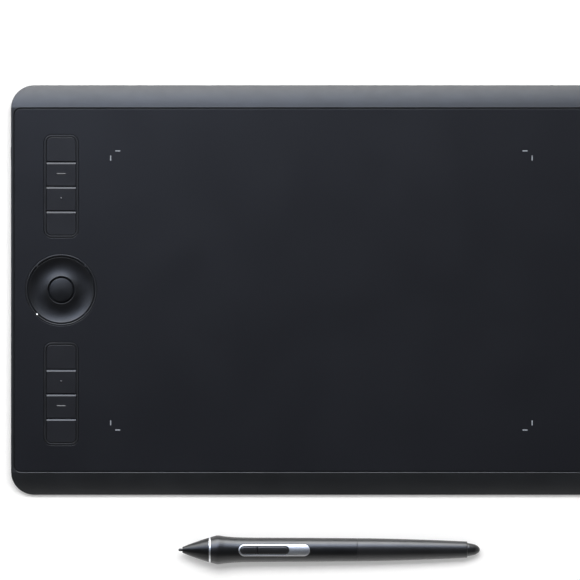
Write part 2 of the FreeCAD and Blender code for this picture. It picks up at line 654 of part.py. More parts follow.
def cover_posts():
    """Standoffs and pillars that rise from the cover's floor: x, y, radius, top height."""
    rings = []
    for x, y in key_board_standoffs():
        rings.append((x, y, STANDOFF_R, KEY_BOARD_Z))
    for x, y in main_board_standoffs():
        rings.append((x, y, STANDOFF_R, MAIN_BOARD_Z))
    for side in (-1, 1):
        rings.append((SLIDE_BOARD_EDGE - SLIDE_BOARD[0] + 2 * STANDOFF_R, SLIDE_Y + 2 * side * STANDOFF_R,
                      STANDOFF_R, MAIN_BOARD_Z))
    for from_left in PILLAR_FROM_LEFT:
        for from_front in PILLAR_FROM_FRONT:
            rings.append((DIGITIZER_LEFT + from_left, ACTIVE_FRONT + from_front, PILLAR_R, SHIELD_Z))
    return rings


def key_board_standoffs():
    reach_y = KEY_GROUP_Y + GROUP_LENGTH / 2 - 2 * STANDOFF_R
    reach_x = RING_OPENING_R - 2 * STANDOFF_R
    return ((CONTROL_X, reach_y), (CONTROL_X, -reach_y), (CONTROL_X - reach_x, 0), (CONTROL_X + reach_x, 0))


def main_board_standoffs():
    inset = 2 * STANDOFF_R
    return ((MAIN_BOARD_LEFT + inset, MAIN_BOARD_FRONT + inset),
            (MAIN_BOARD_RIGHT - inset, MAIN_BOARD_FRONT + inset),
            (MAIN_BOARD_RIGHT - inset, MAIN_BOARD_REAR - inset),
            (MAIN_BOARD_LEFT + inset, MAIN_BOARD_REAR - inset),
            (MAIN_TAIL_RIGHT - inset, MAIN_TAIL_FRONT + inset))


def foot_places():
    x = SIDE_X - FOOT_FROM_SIDE
    y = EDGE_Y - FOOT_FROM_EDGE
    return ((x, y), (-x, y), (-x, -y), (x, -y))


def bottom_cover():
    width = TABLET_WIDTH - 2 * COVER_INSET
    depth = TABLET_DEPTH - 2 * COVER_INSET
    corner = BODY_CORNER_R - COVER_INSET
    bevel_top = FOOT_PROUD + COVER_BEVEL_HEIGHT
    low = rounded_face(vec(0, 0, FOOT_PROUD), ALONG_X, ALONG_Y, width - 2 * COVER_BEVEL_WIDTH,
                       depth - 2 * COVER_BEVEL_WIDTH, corner - COVER_BEVEL_WIDTH)
    high = rounded_face(vec(0, 0, bevel_top), ALONG_X, ALONG_Y, width, depth, corner)
    bevel = Part.makeLoft([low.OuterWire, high.OuterWire], True, True)
    tub = joined([bevel, high.extrude(vec(0, 0, SPLIT_Z - bevel_top))])
    pocket = rounded_block(0, 0, width - 2 * COVER_RIM_WIDTH, depth - 2 * COVER_RIM_WIDTH,
                           corner - COVER_RIM_WIDTH, FLOOR_Z, SPLIT_Z)
    tub = tub.cut(pocket)
    tub = joined([tub] + [disc(x, y, radius, FLOOR_Z, top) for x, y, radius, top in cover_posts()])
    holes = []
    for x, y in foot_places():
        holes.append(rounded_block(x, y, FOOT_LENGTH + 2 * FOOT_PLAY, FOOT_WIDTH + 2 * FOOT_PLAY,
                                   FOOT_WIDTH / 2, FOOT_PROUD, FOOT_PROUD + FOOT_RECESS))
    for x, y in screw_places():
        holes.append(screw_cone(x, y, SCREW_PLAY))
        holes.append(disc(x, y, SCREW_R + 2 * SCREW_PLAY, FOOT_PROUD, FLOOR_Z))
    return cut_away(tub, holes)


def screw_cone(x, y, play):
    """Countersunk head, or with some play its seat in the cover."""
    wide = SCREW_HEAD_R + play
    return Part.makeCone(wide, SCREW_R + play, SCREW_HEAD_DEPTH, vec(x, y, FOOT_PROUD))


def cover_screws():
    screws = []
    for x, y in screw_places():
        shank = disc(x, y, SCREW_R, FOOT_PROUD + SCREW_HEAD_DEPTH, FOOT_PROUD + SCREW_LENGTH)
        socket = Part.makePolygon([vec(x + SCREW_SOCKET_WIDTH / 2 * math.cos(math.radians(60 * turn)),
                                       y + SCREW_SOCKET_WIDTH / 2 * math.sin(math.radians(60 * turn)),
                                       FOOT_PROUD) for turn in range(7)])
        socket = Part.Face(socket).extrude(vec(0, 0, SCREW_SOCKET_DEPTH))
        screws.append(joined([screw_cone(x, y, 0), shank]).cut(socket))
    return Part.makeCompound(screws)


def rubber_feet():
    feet = [rounded_block(x, y, FOOT_LENGTH, FOOT_WIDTH, FOOT_WIDTH / 2, 0, FOOT_PROUD + FOOT_RECESS)
            for x, y in foot_places()]
    return Part.makeCompound(feet)


# Drawing panel and what is bonded under it

def panel_outline(z0, z1):
    return rounded_block(0, 0, OPENING_WIDTH - 2 * PANEL_GAP, OPENING_DEPTH - 2 * PANEL_GAP,
                         PANEL_CORNER_R - PANEL_GAP, z0, z1)


def control_openings(z0, z1):
    """Holes for both key trays and the touch ring."""
    width = TRAY_LIP_WIDTH + 2 * TRAY_PANEL_GAP
    length = TRAY_LIP_LENGTH + 2 * TRAY_PANEL_GAP
    corner = TRAY_CORNER_R + TRAY_LIP + TRAY_PANEL_GAP
    holes = [rounded_block(CONTROL_X, y, width, length, corner, z0, z1) for y in KEY_GROUPS]
    holes.append(disc(CONTROL_X, 0, RING_OPENING_R, z0, z1))
    return holes


def corner_marks(play, z0, z1):
    """Two short bars at each corner of the active area, listed corner by corner."""
    half_x = ACTIVE_WIDTH / 2 + MARK_MARGIN
    half_y = ACTIVE_DEPTH / 2 + MARK_MARGIN
    middle = MARK_OFFSET + MARK_LENGTH / 2
    corners = []
    for side_x in (-1, 1):
        for side_y in (-1, 1):
            x = ACTIVE_X + side_x * half_x
            y = ACTIVE_Y + side_y * half_y
            long_side = MARK_LENGTH + 2 * play
            short_side = MARK_WIDTH + 2 * play
            corners.append((centred_block(x - side_x * middle, y, long_side, short_side, z0, z1),
                            centred_block(x, y - side_y * middle, short_side, long_side, z0, z1)))
    return corners


def corner_plates(border, z0, z1):
    """Square plate under the two bars of each corner."""
    reach = MARK_OFFSET + MARK_LENGTH + MARK_WIDTH / 2
    plates = []
    for side_x in (-1, 1):
        for side_y in (-1, 1):
            x = ACTIVE_X + side_x * (ACTIVE_WIDTH / 2 + MARK_MARGIN - reach / 2 + MARK_WIDTH / 2)
            y = ACTIVE_Y + side_y * (ACTIVE_DEPTH / 2 + MARK_MARGIN - reach / 2 + MARK_WIDTH / 2)
            plates.append(centred_block(x, y, reach + 2 * border, reach + 2 * border, z0, z1))
    return plates


def surface_sheet():
    slots = [bar for pair in corner_marks(MARK_PLAY, SHEET_Z, TABLET_HEIGHT) for bar in pair]
    return cut_away(panel_outline(SHEET_Z, TABLET_HEIGHT), control_openings(SHEET_Z, TABLET_HEIGHT) + slots)


def film_outline(play, z0, z1):
    width = ACTIVE_WIDTH - 2 * FILM_MARGIN - 2 * GUIDE_REACH + 2 * play
    depth = ACTIVE_DEPTH - 2 * FILM_MARGIN - 2 * GUIDE_REACH + 2 * play
    return centred_block(ACTIVE_X, ACTIVE_Y, width, depth, z0, z1)


def surface_panel():
    tools = control_openings(PANEL_Z, SHEET_Z)
    tools += corner_plates(GUIDE_BORDER + MARK_PLAY, SHEET_Z - GUIDE_THICK, SHEET_Z)
    tools += corner_plates(0, PANEL_Z, SHEET_Z - GUIDE_THICK)
    tools.append(film_outline(MARK_PLAY, SHEET_Z - FILM_THICK, SHEET_Z))
    return cut_away(panel_outline(PANEL_Z, SHEET_Z), tools)


def touch_sensor_film():
    return film_outline(0, SHEET_Z - FILM_THICK, SHEET_Z)


def corner_light_guides():
    top = TABLET_HEIGHT - RIM_SETBACK / 2
    guides = []
    plates = corner_plates(GUIDE_BORDER, SHEET_Z - GUIDE_THICK, SHEET_Z)
    for plate, bars in zip(plates, corner_marks(0, SHEET_Z, top)):
        guides.append(joined([plate, bars[0], bars[1]]))
    return Part.makeCompound(guides)


def corner_leds():
    leds = []
    for plate in corner_plates(0, PANEL_Z, SHEET_Z):
        middle = plate.CenterOfMass
        leds.append(centred_block(middle.x, middle.y, MARK_LED[0], MARK_LED[1], PANEL_Z,
                                  PANEL_Z + MARK_LED[2]))
    return Part.makeCompound(leds)


def digitizer_board():
    return rounded_block(ACTIVE_X, ACTIVE_Y, ACTIVE_WIDTH + 2 * DIGITIZER_MARGIN,
                         ACTIVE_DEPTH + 2 * DIGITIZER_MARGIN, BOARD_CORNER_R, DIGITIZER_Z, PANEL_Z)


def shield_plate():
    plate = rounded_block(ACTIVE_X, ACTIVE_Y, ACTIVE_WIDTH + 2 * SHIELD_MARGIN,
                          ACTIVE_DEPTH + 2 * SHIELD_MARGIN, BOARD_CORNER_R, SHIELD_Z, DIGITIZER_Z)
    notch = block(DIGITIZER_LEFT, DIGITIZER_LEFT + SENSOR_LAND + CABLE_NOTCH_PLAY,
                  SENSOR_CABLE_FRONT - CABLE_NOTCH_PLAY, SENSOR_CABLE_REAR + CABLE_NOTCH_PLAY,
                  SHIELD_Z, DIGITIZER_Z)
    return plate.cut(notch)


# Express keys and their trays

def tray_outline(y, grow, z0, z1):
    """Upright prism on the tray's inner outline, grown on all sides."""
    return rounded_block(CONTROL_X, y, TRAY_INNER_WIDTH + 2 * grow, TRAY_INNER_LENGTH + 2 * grow,
                         TRAY_CORNER_R + grow, z0, z1)


def key_centres(group_y):
    first = group_y + (KEYS_PER_GROUP - 1) * KEY_PITCH / 2
    return [first - index * KEY_PITCH for index in range(KEYS_PER_GROUP)]


def key_tray(group_y):
    lip = tray_outline(group_y, TRAY_LIP, PANEL_Z, KEY_TOP_Z)
    lip = lip.cut(tray_outline(group_y, 0, PANEL_Z, KEY_TOP_Z))
    base = tray_outline(group_y, TRAY_LIP + TRAY_FLANGE, TRAY_BASE_Z, PANEL_Z)
    chamber = tray_outline(group_y, TRAY_LIP, TRAY_FLOOR_Z, PANEL_Z - TRAY_RETAINER)
    mouth = tray_outline(group_y, 0, TRAY_FLOOR_Z, PANEL_Z)
    base = base.cut(chamber).cut(mouth)
    reach_x = TRAY_WIDTH / 2 - TRAY_LEG_R - TRAY_LEG_FROM_SIDE
    reach_y = TRAY_LENGTH / 2 - TRAY_LEG_R - TRAY_LEG_FROM_END
    legs = []
    for side_x in (-1, 1):
        for side_y in (-1, 1):
            legs.append(disc(CONTROL_X + side_x * reach_x, group_y + side_y * reach_y, TRAY_LEG_R,
                             KEY_BOARD_TOP, TRAY_BASE_Z))
    tray = joined([lip, base] + legs)
    guide_r = KEY_POST_R + POST_PLAY
    guides = [disc(CONTROL_X, y, guide_r, TRAY_BASE_Z, TRAY_FLOOR_Z) for y in key_centres(group_y)]
    return cut_away(tray, guides)


def edge_chamfer(y_edge, inward, size):
    """Wedge that bevels a key's long upper edge; inward points into the key."""
    wide, deep = size
    left = CONTROL_X - KEY_WIDTH
    points = [vec(left, y_edge, KEY_TOP_Z + EDGE_TOLERANCE),
              vec(left, y_edge + inward * wide, KEY_TOP_Z + EDGE_TOLERANCE),
              vec(left, y_edge, KEY_TOP_Z - deep)]
    return polygon_face(points).extrude(vec(2 * KEY_WIDTH, 0, 0))


def express_key(group_y, index):
    """Key cap with its side flanges and its post; index counts from the rear."""
    y = key_centres(group_y)[index]
    group = rounded_block(CONTROL_X, group_y, KEY_WIDTH, GROUP_LENGTH, KEY_CORNER_R,
                          KEY_FLANGE_LOW, KEY_TOP_Z)
    cap = group.common(centred_block(CONTROL_X, y, KEY_WIDTH, KEY_LENGTH, KEY_FLANGE_LOW, KEY_TOP_Z))
    flange = centred_block(CONTROL_X, y, KEY_WIDTH + 2 * KEY_FLANGE, KEY_LENGTH - 2 * KEY_CORNER_R,
                           KEY_FLANGE_LOW, KEY_FLANGE_TOP)
    hollow = centred_block(CONTROL_X, y, KEY_WIDTH - 2 * KEY_WALL, KEY_LENGTH - 2 * KEY_WALL,
                           KEY_FLANGE_LOW, KEY_TOP_Z - KEY_PLATE)
    cap = joined([cap, flange]).cut(hollow)
    if index > 0:
        cap = cap.cut(edge_chamfer(y + KEY_LENGTH / 2, -1, KEY_REAR_CHAMFER))
    if index < KEYS_PER_GROUP - 1:
        cap = cap.cut(edge_chamfer(y - KEY_LENGTH / 2, 1, KEY_FRONT_CHAMFER))
    post = disc(CONTROL_X, y, KEY_POST_R, POST_SHOULDER_Z, KEY_TOP_Z - KEY_PLATE)
    tip = disc(CONTROL_X, y, KEY_TIP_R, SWITCH_TOP - TIP_ENGAGED, POST_SHOULDER_Z)
    return joined([cap, post, tip] + key_mark(group_y, index, y))


def key_mark(group_y, index, y):
    """Raised dash or dot that lets a finger tell the two middle keys apart."""
    if index == 0 or index == KEYS_PER_GROUP - 1:
        return []
    dash_index = 1 if group_y > 0 else KEYS_PER_GROUP - 2
    top = KEY_TOP_Z + KEY_MARK_HEIGHT
    if index == dash_index:
        return [rounded_block(CONTROL_X, y, KEY_DASH_LENGTH, KEY_DASH_WIDTH, KEY_DASH_WIDTH / 2,
                              KEY_TOP_Z, top)]
    ball_r = (KEY_DOT_R ** 2 + KEY_MARK_HEIGHT ** 2) / (2 * KEY_MARK_HEIGHT)
    ball = Part.makeSphere(ball_r, vec(CONTROL_X, y, top - ball_r))
    return [ball.common(disc(CONTROL_X, y, 2 * KEY_DOT_R, KEY_TOP_Z - KEY_DOT_ROOT, top))]


def key_board():
    board = centred_block(CONTROL_X, 0, KEY_BOARD_WIDTH, 2 * KEY_BOARD_REAR, KEY_BOARD_Z, KEY_BOARD_TOP)
    return joined([board, disc(CONTROL_X, 0, RING_OPENING_R, KEY_BOARD_Z, KEY_BOARD_TOP)])


def switch_places():
    places = [(CONTROL_X, y) for group_y in KEY_GROUPS for y in key_centres(group_y)]
    return places + [(CONTROL_X, 0)]


def key_switches():
    switches = []
    for x, y in switch_places():
        body = centred_block(x, y, SWITCH_SIZE, SWITCH_SIZE, KEY_BOARD_TOP, SWITCH_TOP)
        bore = disc(x, y, KEY_TIP_R + POST_PLAY, KEY_BOARD_TOP + SWITCH_FLOOR, SWITCH_TOP)
        switches.append(body.cut(bore))
    return Part.makeCompound(switches)


# Touch ring

def turned(profile):
    """Solid of revolution about the ring's upright axis; the profile is a list of edges in x, z."""
    face = Part.Face(Part.Wire(Part.__sortEdges__(profile)))
    solid = face.revolve(vec(0, 0, 0), ALONG_Z, 360)
    solid.translate(vec(CONTROL_X, 0, 0))
    return solid


def line(a, b):
    return Part.LineSegment(vec(a[0], 0, a[1]), vec(b[0], 0, b[1])).toShape()


def arc(a, b, c):
    return Part.Arc(vec(a[0], 0, a[1]), vec(b[0], 0, b[1]), vec(c[0], 0, c[1])).toShape()


def outline(points):
    return [line(points[index], points[index + 1]) for index in range(len(points) - 1)]


def ring_lights(radius, z0, z1):
    lights = []
    for angle in RING_LIGHT_ANGLES:
        x = CONTROL_X + RING_LIGHT_AT * math.cos(math.radians(angle))
        y = RING_LIGHT_AT * math.sin(math.radians(angle))
        lights.append(disc(x, y, radius, z0, z1))
    return lights


def touch_ring_dish():
    middle = (RING_INNER_R + RING_OUTER_R) / 2
    profile = outline([(RING_INNER_R, RING_TOP_Z), (RING_INNER_R, RING_BASE_Z), (RING_FLANGE_R, RING_BASE_Z),
                       (RING_FLANGE_R, PANEL_Z), (RING_OUTER_R, PANEL_Z), (RING_OUTER_R, RING_TOP_Z)])
    profile.append(arc((RING_OUTER_R, RING_TOP_Z), (middle, RING_TOP_Z - RING_DISH_DEPTH),
                       (RING_INNER_R, RING_TOP_Z)))
    return cut_away(turned(profile), ring_lights(RING_LIGHT_R + RING_LIGHT_PLAY, RING_BASE_Z, PANEL_Z))


def ring_trim():
    ring = disc(CONTROL_X, 0, RING_TRIM_R + RING_TRIM_WIDTH, PANEL_Z, RING_TOP_Z)
    ring = ring.cut(disc(CONTROL_X, 0, RING_TRIM_R, PANEL_Z, RING_TOP_Z))
    ring = joined([ring] + ring_lights(RING_LIGHT_BOSS_R, PANEL_Z, RING_TOP_Z))
    return cut_away(ring, ring_lights(RING_LIGHT_R + RING_LIGHT_PLAY, PANEL_Z, RING_TOP_Z))


def ring_light_pipes():
    return ring_lights(RING_LIGHT_R, KEY_BOARD_TOP + RING_LED[2], RING_TOP_Z)


def ring_leds():
    leds = []
    for light in ring_light_pipes():
        middle = light.CenterOfMass
        leds.append(centred_block(middle.x, middle.y, RING_LED[0], RING_LED[1], KEY_BOARD_TOP,
                                  KEY_BOARD_TOP + RING_LED[2]))
    return Part.makeCompound(leds)


def touch_ring_sensor():
    low = RING_BASE_Z - RING_SENSOR_THICK
    sensor = disc(CONTROL_X, 0, RING_OUTER_R - RING_SENSOR_SETBACK, low, RING_BASE_Z)
    return sensor.cut(disc(CONTROL_X, 0, RING_BUTTON_WIDE + RING_SENSOR_GAP, low, RING_BASE_Z))


def ring_button():
    """Round button with its flange under the dish and its tip in the switch."""
    shoulder = RING_TOP_Z - RING_BUTTON_CROWN
    crown_r = (RING_BUTTON_R ** 2 + RING_BUTTON_CROWN ** 2) / (2 * RING_BUTTON_CROWN)
    half_r = RING_BUTTON_R / 2
    half_z = RING_TOP_Z - crown_r + math.sqrt(crown_r ** 2 - half_r ** 2)
    flange_top = RING_BASE_Z - 2 * FLANGE_PLAY
    flange_low = flange_top - KEY_FLANGE_HEIGHT
    tip_low = SWITCH_TOP - TIP_ENGAGED
    profile = [arc((0, RING_TOP_Z), (half_r, half_z), (RING_BUTTON_R, shoulder))]
    profile += outline([(RING_BUTTON_R, shoulder), (RING_BUTTON_R, flange_top),
                        (RING_BUTTON_WIDE, flange_top), (RING_BUTTON_WIDE, flange_low),
                        (KEY_TIP_R, flange_low), (KEY_TIP_R, tip_low), (0, tip_low), (0, RING_TOP_Z)])
    return turned(profile)


# Boards and electrical pieces

def main_board():
    main = block(MAIN_BOARD_LEFT, MAIN_BOARD_RIGHT, MAIN_BOARD_FRONT, MAIN_BOARD_REAR,
                 MAIN_BOARD_Z, MAIN_BOARD_TOP)
    bridge = block(MAIN_TAIL_LEFT, MAIN_BOARD_LEFT, MAIN_STRIP_FRONT, MAIN_BOARD_REAR,
                   MAIN_BOARD_Z, MAIN_BOARD_TOP)
    tail = block(MAIN_TAIL_LEFT, MAIN_TAIL_RIGHT, MAIN_TAIL_FRONT, MAIN_BOARD_REAR,
                 MAIN_BOARD_Z, MAIN_BOARD_TOP)
    notch_half = SOCKET_WIDTH / 2 + SOCKET_PLAY
    notch = block(MAIN_TAIL_LEFT, SOCKET_END + SOCKET_PLAY, SOCKET_Y - notch_half, SOCKET_Y + notch_half,
                  MAIN_BOARD_Z, MAIN_BOARD_TOP)
    return joined([main, bridge, tail]).cut(notch)


def on_main_board(x, y, width, depth, height):
    return centred_block(x, y, width, depth, MAIN_BOARD_TOP, MAIN_BOARD_TOP + height)


def main_board_chips():
    """Shield can, processor, memory, power parts, cable plugs, power light and power switch."""
    chips = []
    for x, y, width, depth, height in (SHIELD_CAN, PROCESSOR, MEMORY_CHIP, CHARGER_CHIP, CHARGER_COIL,
                                       MOTION_CHIP):
        chips.append(on_main_board(MAIN_BOARD_LEFT + x, MAIN_BOARD_FRONT + y, width, depth, height))
    from_board, width, depth, height = SOCKET_CHIP
    chips.append(on_main_board(MAIN_BOARD_LEFT - from_board, (MAIN_STRIP_FRONT + MAIN_BOARD_REAR) / 2,
                               width, depth, height))
    plug_long, plug_high = CONNECTOR
    cable_y = (SENSOR_CABLE_FRONT + SENSOR_CABLE_REAR) / 2
    chips.append(on_main_board(DIGITIZER_LEFT + SENSOR_LAND + plug_long / 2, cable_y,
                               plug_long, CABLE_WIDTH, plug_high))
    chips.append(on_main_board(MAIN_BOARD_LEFT + SENSOR_LAND + plug_long / 2, KEY_CABLE_Y,
                               plug_long, KEY_CABLE_WIDTH, plug_high))
    chips.append(on_main_board(MAIN_BOARD_RIGHT - plug_long / 2, BATTERY_LEAD_Y, plug_long,
                               BATTERY_LEAD[0] + 2 * BATTERY_PLUG_BORDER, plug_high))
    led_width, led_depth, led_height = POWER_LED
    chips.append(on_main_board(MAIN_TAIL_LEFT + POWER_LED_SETBACK, POWER_LIGHT_Y, led_width, led_depth,
                               led_height))
    chips.append(power_switch())
    return Part.makeCompound(chips)


def socket_bore(x0, x1):
    return side_slot(SOCKET_Y, SOCKET_Z, SOCKET_WIDTH - 2 * SOCKET_WALL, SOCKET_HEIGHT - 2 * SOCKET_WALL,
                     x0, x1)


def usb_c_socket():
    shell = side_slot(SOCKET_Y, SOCKET_Z, SOCKET_WIDTH, SOCKET_HEIGHT, SOCKET_START, SOCKET_END)
    return shell.cut(socket_bore(SOCKET_START, SOCKET_END))


def usb_c_tongue():
    base = socket_bore(SOCKET_END - TONGUE_BASE, SOCKET_END)
    tongue = block(SOCKET_END - TONGUE_BASE - TONGUE_LENGTH, SOCKET_END - TONGUE_BASE,
                   SOCKET_Y - TONGUE_WIDTH / 2, SOCKET_Y + TONGUE_WIDTH / 2,
                   SOCKET_Z - TONGUE_THICK / 2, SOCKET_Z + TONGUE_THICK / 2)
    return joined([base, tongue])


def power_button():
    wall_in = -SIDE_X + FRAME_WALL
    flange_x = wall_in + FLANGE_PLAY
    cap = side_slot(POWER_Y, POWER_Z, POWER_WIDTH, POWER_HEIGHT, -SIDE_X - POWER_PROUD, flange_x)
    flange = side_slot(POWER_Y, POWER_Z, POWER_WIDTH + 2 * POWER_FLANGE, POWER_HEIGHT + 2 * POWER_FLANGE,
                       flange_x, flange_x + POWER_FLANGE_THICK)
    stem_x = flange_x + POWER_FLANGE_THICK
    half = POWER_STEM_WIDTH / 2
    stem = block(stem_x, stem_x + POWER_STEM, POWER_Y - half, POWER_Y + half,
                 MAIN_BOARD_TOP + POWER_STEM_LIFT, POWER_Z + POWER_HEIGHT / 2)
    return joined([cap, flange, stem])


def power_switch():
    """Switch behind the power button's stem, just out of reach at full travel."""
    stem_end = -SIDE_X + FRAME_WALL + FLANGE_PLAY + POWER_FLANGE_THICK + POWER_STEM
    face = stem_end + POWER_TRAVEL + FLANGE_PLAY
    length, width = POWER_SWITCH
    return block(face, face + length, POWER_Y - width / 2, POWER_Y + width / 2,
                 MAIN_BOARD_TOP, SHIELD_Z - POWER_SWITCH_GAP)


def power_light_window():
    return side_slot(POWER_LIGHT_Y, POWER_Z, 2 * POWER_LIGHT_R, 2 * POWER_LIGHT_R,
                     -SIDE_X, MAIN_TAIL_LEFT - POWER_LIGHT_GAP)


def touch_switch_slider():
    length, height, thick = SLIDE_PLATE
    plate_x = SIDE_X - FRAME_WALL - FLANGE_PLAY
    knob = side_slot(SLIDE_Y, SLIDE_Z, SLIDE_KNOB_LENGTH, SLIDE_KNOB_HEIGHT, plate_x, SIDE_X + SLIDE_PROUD)
    plate = block(plate_x - thick, plate_x, SLIDE_Y - length / 2, SLIDE_Y + length / 2,
                  SLIDE_Z - height / 2, SLIDE_Z + height / 2)
    tab_long, tab_high, tab_deep = SLIDE_TAB
    tab = block(plate_x - thick - tab_deep, plate_x - thick, SLIDE_Y - tab_long / 2, SLIDE_Y + tab_long / 2,
                SLIDE_GROOVE_Z - tab_high / 2, SLIDE_GROOVE_Z + tab_high / 2)
    return joined([knob, plate, tab])


def touch_switch_base():
    width, length, height = SLIDE_BASE
    tab_long, tab_high, tab_deep = SLIDE_TAB
    middle = SLIDE_Y + SLIDE_TRAVEL / 2
    base = block(SLIDE_BOARD_EDGE - width, SLIDE_BOARD_EDGE, middle - length / 2, middle + length / 2,
                 MAIN_BOARD_TOP, MAIN_BOARD_TOP + height)
    half = tab_long / 2 + SLIDE_PLAY
    half_high = tab_high / 2 + SLIDE_PLAY
    groove = block(SLIDE_BOARD_EDGE - tab_deep, SLIDE_BOARD_EDGE, SLIDE_Y - half,
                   SLIDE_Y + SLIDE_TRAVEL + half, SLIDE_GROOVE_Z - half_high, SLIDE_GROOVE_Z + half_high)
    return base.cut(groove)


def touch_switch_board():
    width, length = SLIDE_BOARD
    middle = SLIDE_Y + SLIDE_BOARD_SHIFT
    return block(SLIDE_BOARD_EDGE - width, SLIDE_BOARD_EDGE, middle - length / 2, middle + length / 2,
                 MAIN_BOARD_Z, MAIN_BOARD_TOP)


def battery_pack():
    length, depth, height = BATTERY
    middle_x = BATTERY_LEFT + length / 2
    middle_y = EDGE_Y - BATTERY_FROM_REAR - depth / 2
    return rounded_block(middle_x, middle_y, length, depth, BATTERY_CORNER_R, FLOOR_Z, FLOOR_Z + height)


def battery_lead():
    width, thick = BATTERY_LEAD
    low = MAIN_BOARD_TOP + BATTERY_LEAD_LIFT
    return block(MAIN_BOARD_RIGHT, BATTERY_LEFT, BATTERY_LEAD_Y - width / 2, BATTERY_LEAD_Y + width / 2,
                 low, low + thick)


def wireless_antenna():
    """Antenna under the rear ledge and the root of the bar, midway between the two left screws."""
    length, depth, thick = ANTENNA
    middle = sum(screw_columns()[:2]) / 2
    front = BAR_Y - LEDGE_WIDTH + ANTENNA_FROM_LEDGE
    return block(middle - length / 2, middle + length / 2, front, front + depth, SHIELD_Z - thick, SHIELD_Z)


def sensor_cable():
    """Flat cable that folds from the digitizer's underside down to the main board."""
    left = DIGITIZER_LEFT - SENSOR_LOOP
    right = DIGITIZER_LEFT + SENSOR_LAND
    bend_r = (DIGITIZER_Z - MAIN_BOARD_TOP) / 3
    outer = bent_block(left, right, MAIN_BOARD_TOP, DIGITIZER_Z, bend_r)
    inner = bent_block(left + CABLE_THICK, right, MAIN_BOARD_TOP + CABLE_THICK, DIGITIZER_Z - CABLE_THICK,
                       bend_r - CABLE_THICK)
    return outer.cut(inner)


def bent_block(left, right, z0, z1, bend_r):
    """Block as wide as the digitizer's cable, with its two left edges rounded."""
    piece = block(left, right, SENSOR_CABLE_FRONT, SENSOR_CABLE_REAR, z0, z1)
    bends = []
    for edge in piece.Edges:
        box = edge.BoundBox
        if box.XMax < left + EDGE_TOLERANCE and box.YLength > CABLE_WIDTH / 2:
            bends.append(edge)
    return piece.makeFillet(bend_r, bends)


def key_cable():
    """Flat cable that steps up from the key board to the main board."""
    start = CONTROL_X + KEY_BOARD_WIDTH / 2
    end = MAIN_BOARD_LEFT
    low = [(start - SENSOR_LAND, KEY_BOARD_TOP), (start + CABLE_STEP, KEY_BOARD_TOP),
           (end - CABLE_STEP, MAIN_BOARD_TOP), (end + SENSOR_LAND, MAIN_BOARD_TOP)]
    high = [(x, z + CABLE_THICK) for x, z in reversed(low)]
    return strip(low + high, KEY_CABLE_Y - KEY_CABLE_WIDTH / 2, KEY_CABLE_Y + KEY_CABLE_WIDTH / 2)


def touch_switch_cable():
    """Flat cable along the cover's floor from the touch switch's board to the main board."""
    left = MAIN_BOARD_RIGHT - SENSOR_LAND
    right = SLIDE_BOARD_EDGE - SLIDE_BOARD[0] + CABLE_STEP
    thick = CABLE_THICK
    profile = [(left, MAIN_BOARD_Z), (left, FLOOR_Z), (right, FLOOR_Z), (right, MAIN_BOARD_Z),
               (right - thick, MAIN_BOARD_Z), (right - thick, FLOOR_Z + thick),
               (left + thick, FLOOR_Z + thick), (left + thick, MAIN_BOARD_Z)]
    return strip(profile, SWITCH_CABLE_Y - SWITCH_CABLE_WIDTH / 2, SWITCH_CABLE_Y + SWITCH_CABLE_WIDTH / 2)


# Pen, drawn from its tip along X with its side switch upwards

def rod(radius, s0, s1):
    return Part.makeCylinder(radius, s1 - s0, vec(s0, 0, 0), ALONG_X)


def pen_turned(edges):
    face = Part.Face(Part.Wire(Part.__sortEdges__(edges)))
    return face.revolve(vec(0, 0, 0), ALONG_X, 360)


def smooth(points, start_along, end_along):
    curve = Part.BSplineCurve()
    curve.interpolate(Points=[vec(s, 0, r) for s, r in points], InitialTangent=start_along,
                      FinalTangent=end_along)
    return curve.toShape()


def pen_envelope():
    """Outside of the pen from the cone's tip to the barrel's end."""
    first = (NIB_OUT, CONE_TIP_R)
    middle = (NIB_OUT + CONE_MIDDLE[0], CONE_MIDDLE[1])
    cone_end = (CONE_END, CONE_END_R)
    before, last = PEN_PROFILE[-2:]
    slope = vec(last[0] - before[0], 0, last[1] - before[1]).normalize()
    edges = [line((NIB_OUT, 0), first), arc(first, middle, cone_end), line(cone_end, PEN_PROFILE[0]),
             smooth(PEN_PROFILE, ALONG_X, slope), line(last, (BARREL_END, 0)),
             line((BARREL_END, 0), (NIB_OUT, 0))]
    return pen_turned(edges)


def pen_slice(s0, s1):
    wide = 2 * FLARE_R
    return pen_envelope().common(block(s0, s1, -wide, wide, -wide, wide))


def pen_radius(s):
    """Outer radius of grip or barrel, straight between the points of its outline."""
    for (s0, r0), (s1, r1) in zip(PEN_PROFILE, PEN_PROFILE[1:]):
        if s0 <= s <= s1:
            return r0 + (r1 - r0) * (s - s0) / (s1 - s0)
    return PEN_PROFILE[-1][1]


def pen_shell(s0, s1, inner_r, proud):
    """Tube wall between an inner radius and the grip's surface or just over it."""
    return pen_turned([line((s0, inner_r), (s0, pen_radius(s0) + proud)),
                       line((s0, pen_radius(s0) + proud), (s1, pen_radius(s1) + proud)),
                       line((s1, pen_radius(s1) + proud), (s1, inner_r)),
                       line((s1, inner_r), (s0, inner_r))])


def capsule(s0, length, width, grow):
    """Upright slot-shaped prism over the pen's upper half."""
    face = rounded_face(vec(s0 + length / 2, 0, 0), ALONG_X, ALONG_Y, length + 2 * grow,
                        width + 2 * grow, width / 2 + grow)
    return face.extrude(vec(0, 0, 2 * FLARE_R))


def pen_nib():
    cap = NIB_R / math.sqrt(2)
    edges = [arc((0, 0), (NIB_R - cap, cap), (NIB_R, NIB_R)), line((NIB_R, NIB_R), (NIB_LENGTH, NIB_R)),
             line((NIB_LENGTH, NIB_R), (NIB_LENGTH, 0)), line((NIB_LENGTH, 0), (0, 0))]
    return pen_turned(edges)


